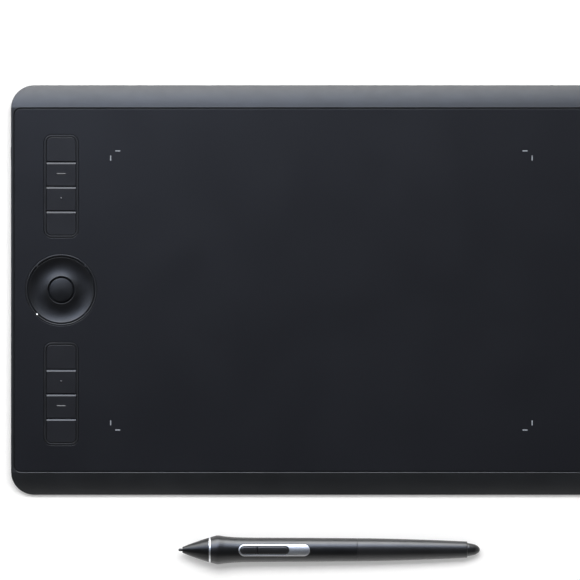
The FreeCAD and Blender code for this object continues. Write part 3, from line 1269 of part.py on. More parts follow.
def pen_front_cone():
    cone = pen_slice(NIB_OUT, CONE_END)
    nib_bore = rod(NIB_R + NIB_PLAY, 0, CONE_END)
    chassis_seat = rod(CHASSIS_R + PEN_PLAY, CHASSIS_START - PEN_PLAY, CONE_END)
    return cone.cut(nib_bore).cut(chassis_seat)


def pen_ring():
    return pen_slice(CONE_END, PEN_RING_END).cut(rod(CHASSIS_R + PEN_PLAY, CONE_END, PEN_RING_END))


def pen_grip():
    grip = pen_slice(PEN_RING_END, GRIP_END).cut(rod(CHASSIS_R + PEN_PLAY, PEN_RING_END, GRIP_END))
    return grip.cut(capsule(BEZEL_START, BEZEL_LENGTH, BEZEL_WIDTH, PEN_PLAY))


def pen_barrel():
    barrel = pen_slice(GRIP_END, BARREL_END)
    bores = [rod(CHASSIS_R + PEN_PLAY, GRIP_END, CHASSIS_END + PEN_PLAY),
             rod(BARREL_BORE_R, CHASSIS_END, BARREL_WALL_FRONT),
             rod(ERASER_STEM_R + NIB_PLAY, BARREL_WALL_FRONT, BARREL_WALL_REAR),
             rod(ERASER_R + NIB_PLAY, BARREL_WALL_REAR, BARREL_END)]
    for bore in bores:
        barrel = barrel.cut(bore)
    return barrel


def pen_chassis():
    inner_r = CHASSIS_R - CHASSIS_WALL
    tube = rod(CHASSIS_R, CHASSIS_START, CHASSIS_END).cut(rod(inner_r, CHASSIS_START, CHASSIS_END))
    half = ROCKER_FOOT_ARM + ROCKER_FOOT
    slot = block(ROCKER_MIDDLE - half, ROCKER_MIDDLE + half, -ROCKER_THICK / 2 - ROCKER_SIDE_GAP,
                 ROCKER_THICK / 2 + ROCKER_SIDE_GAP, 0, CHASSIS_R)
    return tube.cut(slot).cut(rocker_pin_rod(ROCKER_PIN_R + PEN_PLAY / 2, 2 * CHASSIS_R))


def rocker_pin_rod(radius, length):
    return Part.makeCylinder(radius, length, vec(ROCKER_MIDDLE, -length / 2, ROCKER_PIN_Z), ALONG_Y)


def pen_rocker_pin():
    return rocker_pin_rod(ROCKER_PIN_R, 2 * ROCKER_PIN_HALF)


def pen_switch_bezel():
    shell = pen_shell(BEZEL_START - CUT_OVERRUN, BEZEL_START + BEZEL_LENGTH + CUT_OVERRUN,
                      CHASSIS_R + PEN_PLAY, BEZEL_PROUD)
    bezel = shell.common(capsule(BEZEL_START, BEZEL_LENGTH, BEZEL_WIDTH, 0))
    mouth = rounded_face(vec(ROCKER_MIDDLE, 0, 0), ALONG_X, ALONG_Y, ROCKER_LENGTH + 2 * ROCKER_END_GAP,
                         ROCKER_WIDTH + 2 * ROCKER_SIDE_GAP, ROCKER_WIDTH / 2 + ROCKER_SIDE_GAP)
    return bezel.cut(mouth.extrude(vec(0, 0, 2 * FLARE_R)))


def pen_switch_rocker():
    shell = pen_shell(ROCKER_START - CUT_OVERRUN, ROCKER_START + ROCKER_LENGTH + CUT_OVERRUN,
                      ROCKER_UNDER, ROCKER_PROUD)
    plate = shell.common(capsule(ROCKER_START, ROCKER_LENGTH, ROCKER_WIDTH, 0))
    half = ROCKER_THICK / 2
    inside = ROCKER_UNDER + ROCKER_ROOT
    web = block(ROCKER_MIDDLE - ROCKER_WEB / 2, ROCKER_MIDDLE + ROCKER_WEB / 2, -half, half,
                ROCKER_PIN_Z - 2 * ROCKER_PIN_R, inside)
    foot_low = PEN_SWITCH[2] + ROCKER_SWITCH_GAP
    pieces = [plate, web]
    for side in (-1, 1):
        middle = ROCKER_MIDDLE + side * ROCKER_FOOT_ARM
        pieces.append(block(middle - ROCKER_FOOT / 2, middle + ROCKER_FOOT / 2, -half, half,
                            foot_low, inside))
    rocker = joined(pieces).cut(rocker_pin_rod(ROCKER_PIN_R + ROCKER_PIN_PLAY, 2 * ROCKER_WIDTH))
    notch_s = ROCKER_START + ROCKER_NOTCH_FROM_START
    top = pen_radius(notch_s) + ROCKER_PROUD
    notch = block(notch_s - ROCKER_NOTCH[0] / 2, notch_s + ROCKER_NOTCH[0] / 2, -ROCKER_WIDTH, ROCKER_WIDTH,
                  top - ROCKER_NOTCH[1], top + CUT_OVERRUN)
    return rocker.cut(notch)


def pen_board():
    half = math.sqrt((CHASSIS_R - CHASSIS_WALL) ** 2 - PEN_BOARD_THICK ** 2) - PEN_PLAY
    return block(PRESSURE_END + PEN_BOARD_GAP, CHASSIS_END - PEN_BOARD_SETBACK, -half, half,
                 -PEN_BOARD_THICK, 0)


def pen_switches():
    long_side, width, height = PEN_SWITCH
    switches = []
    for side in (-1, 1):
        middle = ROCKER_MIDDLE + side * ROCKER_FOOT_ARM
        switches.append(centred_block(middle, 0, long_side, width, 0, height))
    return Part.makeCompound(switches)


def pen_coil():
    coil = rod(CHASSIS_R - CHASSIS_WALL - PEN_PLAY, COIL_START, COIL_START + COIL_LENGTH)
    return coil.cut(rod(NIB_R + NIB_TRAVEL, COIL_START, COIL_START + COIL_LENGTH))


def pen_pressure_sensor():
    sensor = rod(CHASSIS_R - CHASSIS_WALL - PEN_PLAY, PRESSURE_START, PRESSURE_END)
    return sensor.cut(rod(NIB_R + 2 * NIB_PLAY, PRESSURE_START, PRESSURE_START + PRESSURE_BORE))


def pen_eraser():
    straight_end = PEN_LENGTH - ERASER_STRAIGHT
    head = [(straight_end, ERASER_R)] + [(PEN_LENGTH - back, r) for back, r in ERASER_CURVE]
    head.append((PEN_LENGTH, 0))
    edges = [line((ERASER_STEM_START, 0), (ERASER_STEM_START, ERASER_STEM_R)),
             line((ERASER_STEM_START, ERASER_STEM_R), (ERASER_HEAD_START, ERASER_STEM_R)),
             line((ERASER_HEAD_START, ERASER_STEM_R), (ERASER_HEAD_START, ERASER_R)),
             line((ERASER_HEAD_START, ERASER_R), (straight_end, ERASER_R)),
             smooth(head, ALONG_X, -ALONG_Z),
             line((PEN_LENGTH, 0), (ERASER_STEM_START, 0))]
    return pen_turned(edges)


def pen_eraser_sensor():
    end = ERASER_STEM_START - ERASER_TRAVEL - 2 * PEN_PLAY
    return rod(BARREL_BORE_R - PEN_PLAY, end - ERASER_SENSOR_LENGTH, end)


def pen_placement():
    """Lays the pen on the desk, resting on its flare and on its barrel."""
    fall = FLARE_R - PEN_REST[1]
    run = PEN_REST[0] - FLARE
    turn = FreeCAD.Rotation(ALONG_Y, math.degrees(math.atan2(fall, run)))
    lying = pen_envelope()
    lying.Placement = FreeCAD.Placement(vec(0, 0, 0), turn)
    height = -lying.optimalBoundingBox(False, False).ZMin
    return FreeCAD.Placement(vec(PEN_TIP_X, PEN_Y, height), turn)


TABLET_PIECES = {
    "bottom_cover": bottom_cover,
    "top_frame": top_frame,
    "rubber_feet": rubber_feet,
    "cover_screws": cover_screws,
    "surface_sheet": surface_sheet,
    "surface_panel": surface_panel,
    "touch_sensor_film": touch_sensor_film,
    "digitizer_board": digitizer_board,
    "shield_plate": shield_plate,
    "corner_light_guides": corner_light_guides,
    "corner_leds": corner_leds,
    "key_board": key_board,
    "key_switches": key_switches,
    "touch_ring_dish": touch_ring_dish,
    "touch_ring_sensor": touch_ring_sensor,
    "ring_trim": ring_trim,
    "ring_leds": ring_leds,
    "ring_button": ring_button,
    "main_board": main_board,
    "main_board_chips": main_board_chips,
    "usb_c_socket": usb_c_socket,
    "usb_c_tongue": usb_c_tongue,
    "power_button": power_button,
    "power_light_window": power_light_window,
    "touch_switch_slider": touch_switch_slider,
    "touch_switch_base": touch_switch_base,
    "touch_switch_board": touch_switch_board,
    "battery_pack": battery_pack,
    "battery_lead": battery_lead,
    "wireless_antenna": wireless_antenna,
    "sensor_cable": sensor_cable,
    "key_cable": key_cable,
    "touch_switch_cable": touch_switch_cable,
}

PEN_PIECES = {
    "pen_nib": pen_nib,
    "pen_front_cone": pen_front_cone,
    "pen_ring": pen_ring,
    "pen_grip": pen_grip,
    "pen_barrel": pen_barrel,
    "pen_chassis": pen_chassis,
    "pen_coil": pen_coil,
    "pen_pressure_sensor": pen_pressure_sensor,
    "pen_board": pen_board,
    "pen_switches": pen_switches,
    "pen_switch_bezel": pen_switch_bezel,
    "pen_switch_rocker": pen_switch_rocker,
    "pen_rocker_pin": pen_rocker_pin,
    "pen_eraser": pen_eraser,
    "pen_eraser_sensor": pen_eraser_sensor,
}


def main():
    os.makedirs("parts", exist_ok=True)
    tablet = FreeCAD.Placement(vec(0, TABLET_Y, 0), FreeCAD.Rotation())
    for name, make in TABLET_PIECES.items():
        write_node(name, make(), tablet)
    write_node("key_tray_rear", key_tray(KEY_GROUP_Y), tablet)
    write_node("key_tray_front", key_tray(-KEY_GROUP_Y), tablet)
    number = 1
    for group_y in KEY_GROUPS:
        for index in range(KEYS_PER_GROUP):
            write_node("express_key_" + str(number), express_key(group_y, index), tablet)
            number += 1
    pipes = dict(zip(RING_LIGHT_ANGLES, ring_light_pipes()))
    lit = pipes.pop(RING_LIT_ANGLE)
    write_node("ring_light_lit", lit, tablet)
    write_node("ring_lights_unlit", Part.makeCompound(list(pipes.values())), tablet)
    pen = pen_placement()
    for name, make in PEN_PIECES.items():
        write_node(name, make(), pen)
    print("pen height and tilt", round(pen.Base.z, 4), round(math.degrees(pen.Rotation.Angle), 4))
    print("tablet centre y", round(TABLET_Y, 4), "pen y", round(PEN_Y, 4))


main()
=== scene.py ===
import json
import math

import bmesh
import bpy
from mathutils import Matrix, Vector

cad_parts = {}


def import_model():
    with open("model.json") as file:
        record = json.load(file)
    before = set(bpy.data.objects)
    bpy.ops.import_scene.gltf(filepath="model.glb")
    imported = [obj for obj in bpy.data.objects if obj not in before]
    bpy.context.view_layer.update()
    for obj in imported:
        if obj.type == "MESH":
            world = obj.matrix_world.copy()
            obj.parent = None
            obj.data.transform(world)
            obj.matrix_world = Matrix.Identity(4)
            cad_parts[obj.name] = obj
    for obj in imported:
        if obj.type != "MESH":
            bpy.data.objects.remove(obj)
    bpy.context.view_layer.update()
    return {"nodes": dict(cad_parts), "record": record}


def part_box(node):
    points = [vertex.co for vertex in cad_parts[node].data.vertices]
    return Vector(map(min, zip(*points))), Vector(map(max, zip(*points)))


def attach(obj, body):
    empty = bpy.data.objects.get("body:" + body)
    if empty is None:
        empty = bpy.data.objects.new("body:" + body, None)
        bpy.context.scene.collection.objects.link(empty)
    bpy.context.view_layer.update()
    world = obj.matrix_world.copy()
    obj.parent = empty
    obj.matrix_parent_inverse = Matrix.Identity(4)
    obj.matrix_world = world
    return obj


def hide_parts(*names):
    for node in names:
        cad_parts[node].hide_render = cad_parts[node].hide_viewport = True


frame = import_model()

# Graphics tablet with its pen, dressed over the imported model.
# The shapes below are written in millimetres and scaled to metres when a piece is made.

MM = 0.001

# Express keys
KEY_COUNT = 8
KEYS_PER_GROUP = 4
DASH_KEYS = (2, 7)
DOT_KEYS = (3, 6)
KEY_CAP_WIDTH = 15.6
KEY_CAP_LENGTH = 12.8
KEY_SKIRT_Z = 5.55
KEY_FLANGE_Z = 6.05
KEY_FLANGE = 0.85
KEY_TOP_Z = 7.95
KEY_CORNER = 2.7                   # outer corners of the group of four
KEY_INNER_CORNER = 0.25
LEAST_CORNER = 0.02                # no corner shrinks to a point
KEY_ROUND = 0.22                   # rounded upper edge
KEY_REAR_CHAMFER = (0.9, 0.5)      # width and depth
KEY_REAR_STEP = (0.22, 1.3)        # the wall under that chamfer leans in by this much from this depth
KEY_FRONT_CHAMFER = (0.17, 0.55)
KEY_CAP_DEPTHS = (1.3, 0.55, 0.5, 0.45, 0.3, 0.22, 0.15, 0.1, 0.06, 0.03, 0.01, 0.0)    # of its loops
KEY_POST = (1.25, 4.65)            # radius and lower end
KEY_POST_TIP = (0.75, 3.9)
DASH = (5.2, 0.9, 0.3)             # length, width and height
DASH_RISE = ((0.0, -0.1), (0.0, 0.0), (0.8, 0.85), (0.9, 0.95), (0.97, 1.0))   # in half widths and heights
DOT_R = 0.65
DOT_HEIGHT = 0.3
DOT_RISE = ((1.0, -0.3), (1.0, 0.0), (0.4, 0.8), (0.25, 0.95), (0.02, 1.0))    # in radii and heights

# Key trays
TRAY_CORNER = 3.05
TRAY_LIP = 0.95
TRAY_LIP_ROUND = 0.18
TRAY_FLANGE = 2.55
TRAY_FLANGE_ROUND = 0.2
TRAY_BASE_Z = 4.3
TRAY_FLOOR_Z = 4.8
TRAY_RETAINER_Z = 6.1
TRAY_LEG_R = 1.2
TRAY_LEG_Z = 3.2
TRAY_LEG_FROM_SIDE = 1.7
TRAY_LEG_FROM_END = 3.2
PANEL_Z = 6.6

# Touch ring
RING_TOP_Z = 7.95
RING_BASE_Z = 5.6
RING_INNER_R = 7.2
RING_OUTER_R = 17.5
RING_DISH_DEPTH = 1.2
RING_FLANGE_R = 20.95
RING_INNER_ROUND = 0.45
RING_OUTER_ROUND = 0.2
BUTTON_R = 6.45
BUTTON_CROWN = 0.7
BUTTON_ROUND = 0.35
BUTTON_MIDDLE_R = 0.05             # small flat in the middle of the crown
BUTTON_FLANGE_R = 8.0
BUTTON_FLANGE_Z = (5.0, 5.5)
BUTTON_TIP = (0.75, 3.9)           # radius and lower end
TRIM_R = 18.15
TRIM_WIDTH = 0.98
TRIM_ROUND = 0.42
LIGHT_R = 0.5
LIGHT_AT = 18.375                  # from the ring's middle
LIGHT_GAP = 0.05                   # between a light and the collar round it
LIGHT_LOW_Z = 3.7
LIGHT_DOME = ((1.0, 0.12), (0.84, 0.03), (0.5, 0.0), (0.04, 0.0))   # share of the radius, depth below top
LIGHT_BOSS_R = 0.8
LIGHT_BOSS_ROUND = 0.15
LIGHT_ANGLES = (45, 135, 225, 315)
LIT_ANGLE = 225

# Drawing film
FILM_CORNER = 3.25
FILM_ROUND = 0.12
RING_OPENING_R = 19.25
TRAY_OPENING_GAP = 0.3
MARK_HALF = (112.5, 74.5)          # the rectangle that the corner lights mark
MARK_CENTRE = (-3.3, -0.2)         # its x, and its y from the middle of the film
MARK_OFFSET = 2.5                  # from the corner to the start of each light
MARK_LENGTH = 2.6
MARK_WIDTH = 0.5
MARK_PLAY = 0.05                   # between a light and the film round it
MARK_CORNER = 0.05

# Pen, measured along it from the nib's tip; its curves are pairs of a place along it and a radius
PEN_TIP = (-79.6, -120.225, 8.1706)
PEN_FALL = 1.1661                  # degrees
NIB_R = 0.75
NIB_END = 28.5
NIB_CURVE = ((0.0, 0.02), (0.03, 0.25), (0.12, 0.45), (0.3, 0.62), (0.6, 0.72), (0.9, NIB_R))
NIB_BORE_R = 0.82
CONE_START = 2.1
CONE_START_ROUND = 0.2
CONE_END_R = 6.56
CONE_END_ROUND = 0.1
CHASSIS_BORE_R = 4.25
CHASSIS_BORE_START = 13.55
PEN_RING_START = 16.2
PEN_RING_END = 17.1
PEN_RING_ROUND = 0.12
GRIP_START_ROUND = 0.15
FLARE = 20.5
FLARE_R = 7.75
FLARE_ROUND = 0.9
GRIP_END = 95.4
SEAM_R = 6.17
SEAM_ROUND = 0.18
BARREL_END = 154.3
BARREL_END_ROUND = 0.5
BARREL_BORE_R = 3.57
BARREL_BORE_START = 150.9
CONE_CURVE = ((CONE_START, 1.5), (5.8, 3.04), (9.5, 4.36), (12.9, 5.52), (PEN_RING_START, CONE_END_R))
GRIP_CURVE = ((FLARE, FLARE_R), (24.7, 7.25), (31.2, 6.72), (38.7, 6.53), (65.3, 6.4), (GRIP_END, SEAM_R))
BARREL_CURVE = ((GRIP_END, SEAM_R), (105.0, 6.03), (118.6, 5.72), (140.0, 5.01), (BARREL_END, 4.36))
ERASER_STEM_R = 1.9
ERASER_STEM_START = 142.8
ERASER_START = 153.5
ERASER_R = 3.5
ERASER_CURVE = ((154.8, ERASER_R), (156.4, 3.23), (158.5, 2.71), (160.1, 1.75))
ERASER_TIP = ((160.5, 1.32), (160.8, 0.85), (160.95, 0.4), (161.0, 0.02))

# Side switch on the pen
BEZEL_START = 32.0
BEZEL_LENGTH = 38.0
BEZEL_WIDTH = 6.3
BEZEL_PROUD = 0.12
BEZEL_ROUND = 0.15
BEZEL_DEPTH = 1.9
BEZEL_BANDS = 10                   # bands of faces between its edge and the switch's mouth
SLOT_GAP = 0.05
SLOT_HEIGHTS = (1.5, 12.0)         # the cutter's ends above the pen's axis
ROCKER_START = 33.2
ROCKER_LENGTH = 25.5
ROCKER_WIDTH = 4.2
ROCKER_PROUD = 0.4
ROCKER_ROUND = 0.55
ROCKER_DEPTH = 1.45
ROCKER_INSETS = (0.8, 1.1, 1.4, 1.7, 1.95, 2.09)   # loops of its top, from its side
MOUTH_END_GAP = 0.35
MOUTH_SIDE_GAP = 0.25
NOTCH_FROM_START = 8.8
NOTCH_HALF = 0.42
NOTCH_DEPTH = 0.6

# Fineness of the meshes
SHARP_ANGLE = math.radians(38)
CORNER_STEPS = 10
ROUND_STEPS = 5
TURN_STEPS = 160
ARC_STEPS = 36
CROWN_STEPS = 16
WELD = 1e-7                        # metres
SLIVER = 1e-8                      # metres

# Materials
BLACK = (0.0062, 0.0068, 0.0098)
HAZE_BAND = (0.2, 0.5)             # 1 less the cosine of the viewing angle, where haze starts and is full
NOISE_BAND = (0.35, 0.65)          # most values of a noise lie in it
GLOSS_PATCHES = 3.7                # patches of gloss are this many times as fine as those of colour
METAL_TONES = (0.92, 1.05)
METAL_GLOSS = (0.85, 1.15)
METAL_MARK_DEPTH = 0.000001        # metres

# Camera, straight above the desk, in metres but for the sensor
PHOTO_CENTRE = (-0.02006, 0.01849)
PHOTO_WIDTH = 0.3096
CAMERA_HEIGHT = 3.0
SENSOR_WIDTH = 36.0

# Floor, world and lamps, in metres
FLOOR_HALF = 3.0
FLOOR_COLOUR = (0.86, 0.86, 0.86)
FLOOR_ROUGHNESS = 0.9
FLOOR_SPECULAR = 0.1
FLOOR_GLOW = 0.18                  # what the floor adds where camera or mirrors see it
CEILING_LEVEL = 0.03
HORIZON_LEVEL = 0.8
HORIZON_BAND = (0.1, 0.55)         # sines of elevation between which the horizon fades to the ceiling
WORLD_FILL = 0.40                  # what matt surfaces get from all round
SHEEN_TARGET = (-0.05, 0.0, 0.0)


def middle_of(node):
    """Middle of a node's box in plan, in millimetres."""
    low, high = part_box(node)
    return (low.x + high.x) / 2 / MM, (low.y + high.y) / 2 / MM


# Shader building blocks

def new_material(name):
    """A material with only its output and principled shader; returns it with its tree and shader."""
    material = bpy.data.materials.new(name)
    material.use_nodes = True
    tree = material.node_tree
    return material, tree, tree.nodes["Principled BSDF"]


def noise(tree, scale, detail, roughness=0.5):
    """Noise over the object's own coordinates, in cycles per metre."""
    place = tree.nodes.new("ShaderNodeTexCoord")
    texture = tree.nodes.new("ShaderNodeTexNoise")
    texture.inputs["Scale"].default_value = scale
    texture.inputs["Detail"].default_value = detail
    texture.inputs["Roughness"].default_value = roughness
    tree.links.new(place.outputs["Object"], texture.inputs["Vector"])
    return texture.outputs["Fac"]


def spread(tree, source, low, high, start=NOISE_BAND[0], end=NOISE_BAND[1]):
    """Maps a socket's values between start and end onto the range from low to high."""
    ramp = tree.nodes.new("ShaderNodeMapRange")
    ramp.inputs["From Min"].default_value = start
    ramp.inputs["From Max"].default_value = end
    ramp.inputs["To Min"].default_value = low
    ramp.inputs["To Max"].default_value = high
    tree.links.new(source, ramp.inputs["Value"])
    return ramp.outputs["Result"]


def added(tree, first, second, clamp=False):
    """Sum of two sockets."""
    total = tree.nodes.new("ShaderNodeMath")
    total.operation = "ADD"
    total.use_clamp = clamp
    tree.links.new(first, total.inputs[0])
    tree.links.new(second, total.inputs[1])
    return total.outputs[0]


def mixed_colour(tree, factor, first, second):
    """Colour between two others, by a factor socket; a mix node's colours are its sockets 6 and 7."""
    mix = tree.nodes.new("ShaderNodeMix")
    mix.data_type = "RGBA"
    mix.inputs[6].default_value = (*first, 1.0)
    mix.inputs[7].default_value = (*second, 1.0)
    tree.links.new(factor, mix.inputs[0])
    return mix.outputs[2]


def chosen(tree, flag, level, otherwise):
    """A level where the flag is 1, else a socket's value; a mix node's numbers are its sockets 2 and 3."""
    mix = tree.nodes.new("ShaderNodeMix")
    mix.data_type = "FLOAT"
    tree.links.new(flag, mix.inputs[0])
    tree.links.new(otherwise, mix.inputs[2])
    mix.inputs[3].default_value = level
    return mix.outputs[0]


def add_bump(tree, shader, height, distance):
    """Fine relief, with its depth in metres."""
    bump = tree.nodes.new("ShaderNodeBump")
    bump.inputs["Distance"].default_value = distance
    bump.inputs["Strength"].default_value = 1.0
    tree.links.new(height, bump.inputs["Height"])
    tree.links.new(bump.outputs["Normal"], shader.inputs["Normal"])


def tinted(colour, amount):
    """Colour made darker or lighter."""
    return tuple(min(1.0, channel * amount) for channel in colour)


# Materials

def moulded(name, colour, roughness, grain=2500.0, depth=0.000004, uneven=0.12, patch=60.0,
            specular=0.5, haze=0.0):
    """Plastic or rubber with fine grain and slightly uneven colour and gloss.

    Its roughness grows by haze where it is seen aslant.
    """
    material, tree, shader = new_material(name)
    tone = spread(tree, noise(tree, patch, detail=4.0), 0.0, 1.0)
    tree.links.new(mixed_colour(tree, tone, tinted(colour, 1 - uneven), tinted(colour, 1 + uneven)),
                   shader.inputs["Base Color"])
    gloss = noise(tree, patch * GLOSS_PATCHES, detail=3.0)
    rough = spread(tree, gloss, roughness * (1 - uneven / 2), roughness * (1 + uneven / 2))
    if haze:
        aslant = tree.nodes.new("ShaderNodeLayerWeight")
        rough = added(tree, rough, spread(tree, aslant.outputs["Facing"], 0.0, haze, *HAZE_BAND))
    tree.links.new(rough, shader.inputs["Roughness"])
    shader.inputs["Specular IOR Level"].default_value = specular
    add_bump(tree, shader, noise(tree, grain, detail=3.0, roughness=0.6), depth)
    return material


def metal(name, colour, roughness, grain=1500.0):
    """Bare or plated metal with fine marks."""
    material, tree, shader = new_material(name)
    shader.inputs["Metallic"].default_value = 1.0
    marks = noise(tree, grain, detail=3.0, roughness=0.6)
    dark, light = METAL_TONES
    tone = spread(tree, marks, 0.0, 1.0)
    tree.links.new(mixed_colour(tree, tone, tinted(colour, dark), tinted(colour, light)),
                   shader.inputs["Base Color"])
    least, most = METAL_GLOSS
    tree.links.new(spread(tree, marks, roughness * least, roughness * most), shader.inputs["Roughness"])
    add_bump(tree, shader, marks, METAL_MARK_DEPTH)
    return material


def lamp_window(name, colour, strength, cloud=900.0, uneven=0.06, roughness=0.35, depth=0.000003):
    """Light guide: milky plastic that glows evenly."""
    material, tree, shader = new_material(name)
    clouds = noise(tree, cloud, detail=2.0)
    tree.links.new(mixed_colour(tree, spread(tree, clouds, 0.0, 1.0), tinted(colour, 1 - uneven), colour),
                   shader.inputs["Base Color"])
    shader.inputs["Roughness"].default_value = roughness
    shader.inputs["Emission Color"].default_value = (*colour, 1.0)
    shader.inputs["Emission Strength"].default_value = strength
    add_bump(tree, shader, clouds, depth)
    return material


MATERIALS = {
    "frame_plastic": moulded("frame_plastic", (0.0095, 0.0107, 0.0125), 0.44, haze=0.4),
    "cover_aluminium": metal("cover_aluminium", (0.05, 0.052, 0.056), 0.5, grain=900.0),
    "foot_rubber": moulded("foot_rubber", (0.02, 0.02, 0.02), 0.75, grain=1800.0, depth=0.00001),
    "screw_steel": metal("screw_steel", (0.12, 0.12, 0.125), 0.35),
    "drawing_film": moulded("drawing_film", BLACK, 0.36, grain=4000.0, depth=0.000003, uneven=0.06,
                            patch=9.0, haze=0.5),
    "panel_plastic": moulded("panel_plastic", (0.02, 0.02, 0.022), 0.5),
    "sensor_film": moulded("sensor_film", (0.10, 0.07, 0.03), 0.3),
    "circuit_board": moulded("circuit_board", (0.01, 0.07, 0.035), 0.4),
    "shield_steel": metal("shield_steel", (0.5, 0.5, 0.5), 0.3),
    "light_guide": lamp_window("light_guide", (0.24, 0.26, 0.29), 0.33),
    "light_guide_dark": moulded("light_guide_dark", (0.03, 0.03, 0.035), 0.3),
    "led_white": lamp_window("led_white", (0.9, 0.93, 0.95), 0.9),
    "key_plastic": moulded("key_plastic", (0.0085, 0.009, 0.0118), 0.37, grain=4000.0, depth=0.000003,
                           uneven=0.08, patch=40.0, haze=0.5),
    "tray_plastic": moulded("tray_plastic", (0.008, 0.0085, 0.010), 0.4, haze=0.5),
    "ring_plastic": moulded("ring_plastic", (0.0016, 0.0018, 0.0026), 0.45, haze=0.4),
    "component_black": moulded("component_black", (0.015, 0.015, 0.016), 0.45),
    "socket_steel": metal("socket_steel", (0.55, 0.55, 0.56), 0.28),
    "tongue_plastic": moulded("tongue_plastic", (0.02, 0.02, 0.02), 0.4),
    "button_plastic": moulded("button_plastic", (0.02, 0.02, 0.022), 0.38),
    "battery_foil": metal("battery_foil", (0.45, 0.45, 0.47), 0.35, grain=300.0),
    "cable_film": moulded("cable_film", (0.12, 0.07, 0.02), 0.35),
    "nib_plastic": moulded("nib_plastic", (0.0035, 0.0037, 0.0042), 0.34),
    "pen_plastic": moulded("pen_plastic", (0.009, 0.0093, 0.0104), 0.36, specular=0.8),
    "pen_rubber": moulded("pen_rubber", (0.003, 0.0033, 0.004), 0.36, grain=3200.0, depth=0.000003,
                          specular=0.8),
    "pen_chrome": metal("pen_chrome", (0.8, 0.81, 0.83), 0.42),
    "bezel_silver": metal("bezel_silver", (0.8, 0.81, 0.83), 0.42),
    "rocker_plastic": moulded("rocker_plastic", (0.009, 0.0095, 0.0105), 0.36, specular=0.8),
    "chassis_plastic": moulded("chassis_plastic", (0.05, 0.05, 0.05), 0.5),
    "coil_copper": metal("coil_copper", (0.7, 0.35, 0.18), 0.3),
    "pin_steel": metal("pin_steel", (0.6, 0.6, 0.6), 0.25),
}


def dress_cad_nodes():
    """Gives every node the material of its slot in the record."""
    for part in frame["record"]["subparts"]:
        mesh = frame["nodes"][part["node"]].data
        mesh.materials.clear()
        mesh.materials.append(MATERIALS[part["material_slot"]])


# Meshes: a shape is a list of points and a list of faces

def loft(loops, closed=False):
    """Skin over loops of equally many points; flat caps at both ends, or the last joins the first."""
    count = len(loops[0])
    points = [point for loop in loops for point in loop]
    faces = []
    for index in range(len(loops) if closed else len(loops) - 1):
        low = index * count
        high = (index + 1) % len(loops) * count
        for step in range(count):
            after = (step + 1) % count
            faces.append((low + step, low + after, high + after, high + step))
    if not closed:
        faces.append(tuple(range(count))[::-1])
        faces.append(tuple(range(len(points) - count, len(points))))
    return points, faces


def together(*shapes):
    """Several shapes as one."""
    points = []
    faces = []
    for shape_points, shape_faces in shapes:
        start = len(points)
        points.extend(shape_points)
        faces.extend(tuple(start + corner for corner in face) for face in shape_faces)
    return points, faces


def softened(path, cuts):
    """Open path of flat points whose inner corners are cut back by the given lengths and rounded."""
    result = [path[0]]
    for before, corner, after, cut in zip(path, path[1:], path[2:], cuts):
        if not cut:
            result.append(corner)
            continue
        corner = Vector(corner)
        start = corner + (Vector(before) - corner).normalized() * cut
        end = corner + (Vector(after) - corner).normalized() * cut
        for step in range(ROUND_STEPS + 1):
            t = step / ROUND_STEPS
            result.append(tuple((1 - t) ** 2 * start + 2 * t * (1 - t) * corner + t ** 2 * end))
    result.append(path[-1])
    return result


def curve_through(points, steps, start_slope=None):
    """Smooth line of (along, out) pairs through given ones, with so many steps from each to the next."""
    slopes = []
    for index in range(len(points)):
        before = points[max(index - 1, 0)]
        after = points[min(index + 1, len(points) - 1)]
        slopes.append((after[1] - before[1]) / (after[0] - before[0]))
    if start_slope is not None:
        slopes[0] = start_slope
    line = []
    for a, b, slope_a, slope_b in zip(points, points[1:], slopes, slopes[1:]):
        run = b[0] - a[0]
        for step in range(steps):
            t = step / steps
            out = ((2 * t ** 3 - 3 * t ** 2 + 1) * a[1] + (t ** 3 - 2 * t ** 2 + t) * run * slope_a
                   + (3 * t ** 2 - 2 * t ** 3) * b[1] + (t ** 3 - t ** 2) * run * slope_b)
            line.append((a[0] + t * run, out))
    line.append(tuple(points[-1]))
    return line


def arc_between(a, b, depth):
    """Points of a hollow arc from a to b, at one height, whose middle lies a depth under them."""
    half = (b[0] - a[0]) / 2
    radius = (half ** 2 + depth ** 2) / (2 * depth)
    centre = (a[0] + half, a[1] - depth + radius)
    half_angle = math.asin(half / radius)
    points = []
    for step in range(ARC_STEPS + 1):
        angle = -half_angle + 2 * half_angle * step / ARC_STEPS
        points.append((centre[0] + radius * math.sin(angle), centre[1] - radius * math.cos(angle)))
    return points


def turned(profile, place, steps=TURN_STEPS, closed=False):
    """Skin of (radius, height) pairs turned round an axis; place gives the point of an angle and a pair."""
    loops = []
    for radius, height in profile:
        loops.append([place(2 * math.pi * step / steps, radius, height) for step in range(steps)])
    return loft(loops, closed)


def upright(x, y):
    """Turning place about an upright axis."""
    def place(angle, radius, height):
        return x + radius * math.cos(angle), y + radius * math.sin(angle), height
    return place


def corner_loop(x0, x1, y0, y1, z, radii):
    """Level loop round a rectangle, anticlockwise, with a radius for each corner from the front left."""
    corners = ((x0, y0, 1, 1, 180), (x1, y0, -1, 1, 270), (x1, y1, -1, -1, 0), (x0, y1, 1, -1, 90))
    loop = []
    for (x, y, inward_x, inward_y, start), radius in zip(corners, radii):
        for step in range(CORNER_STEPS + 1):
            angle = math.radians(start + 90 * step / CORNER_STEPS)
            loop.append((x + inward_x * radius + radius * math.cos(angle),
                         y + inward_y * radius + radius * math.sin(angle), z))
    return loop


def grown_loop(centre, width, length, radius, grow, z):
    """Level rounded rectangle about a centre, grown on all sides."""
    half_x = width / 2 + grow
    half_y = length / 2 + grow
    return corner_loop(centre[0] - half_x, centre[0] + half_x, centre[1] - half_y, centre[1] + half_y, z,
                       [max(radius + grow, LEAST_CORNER)] * 4)


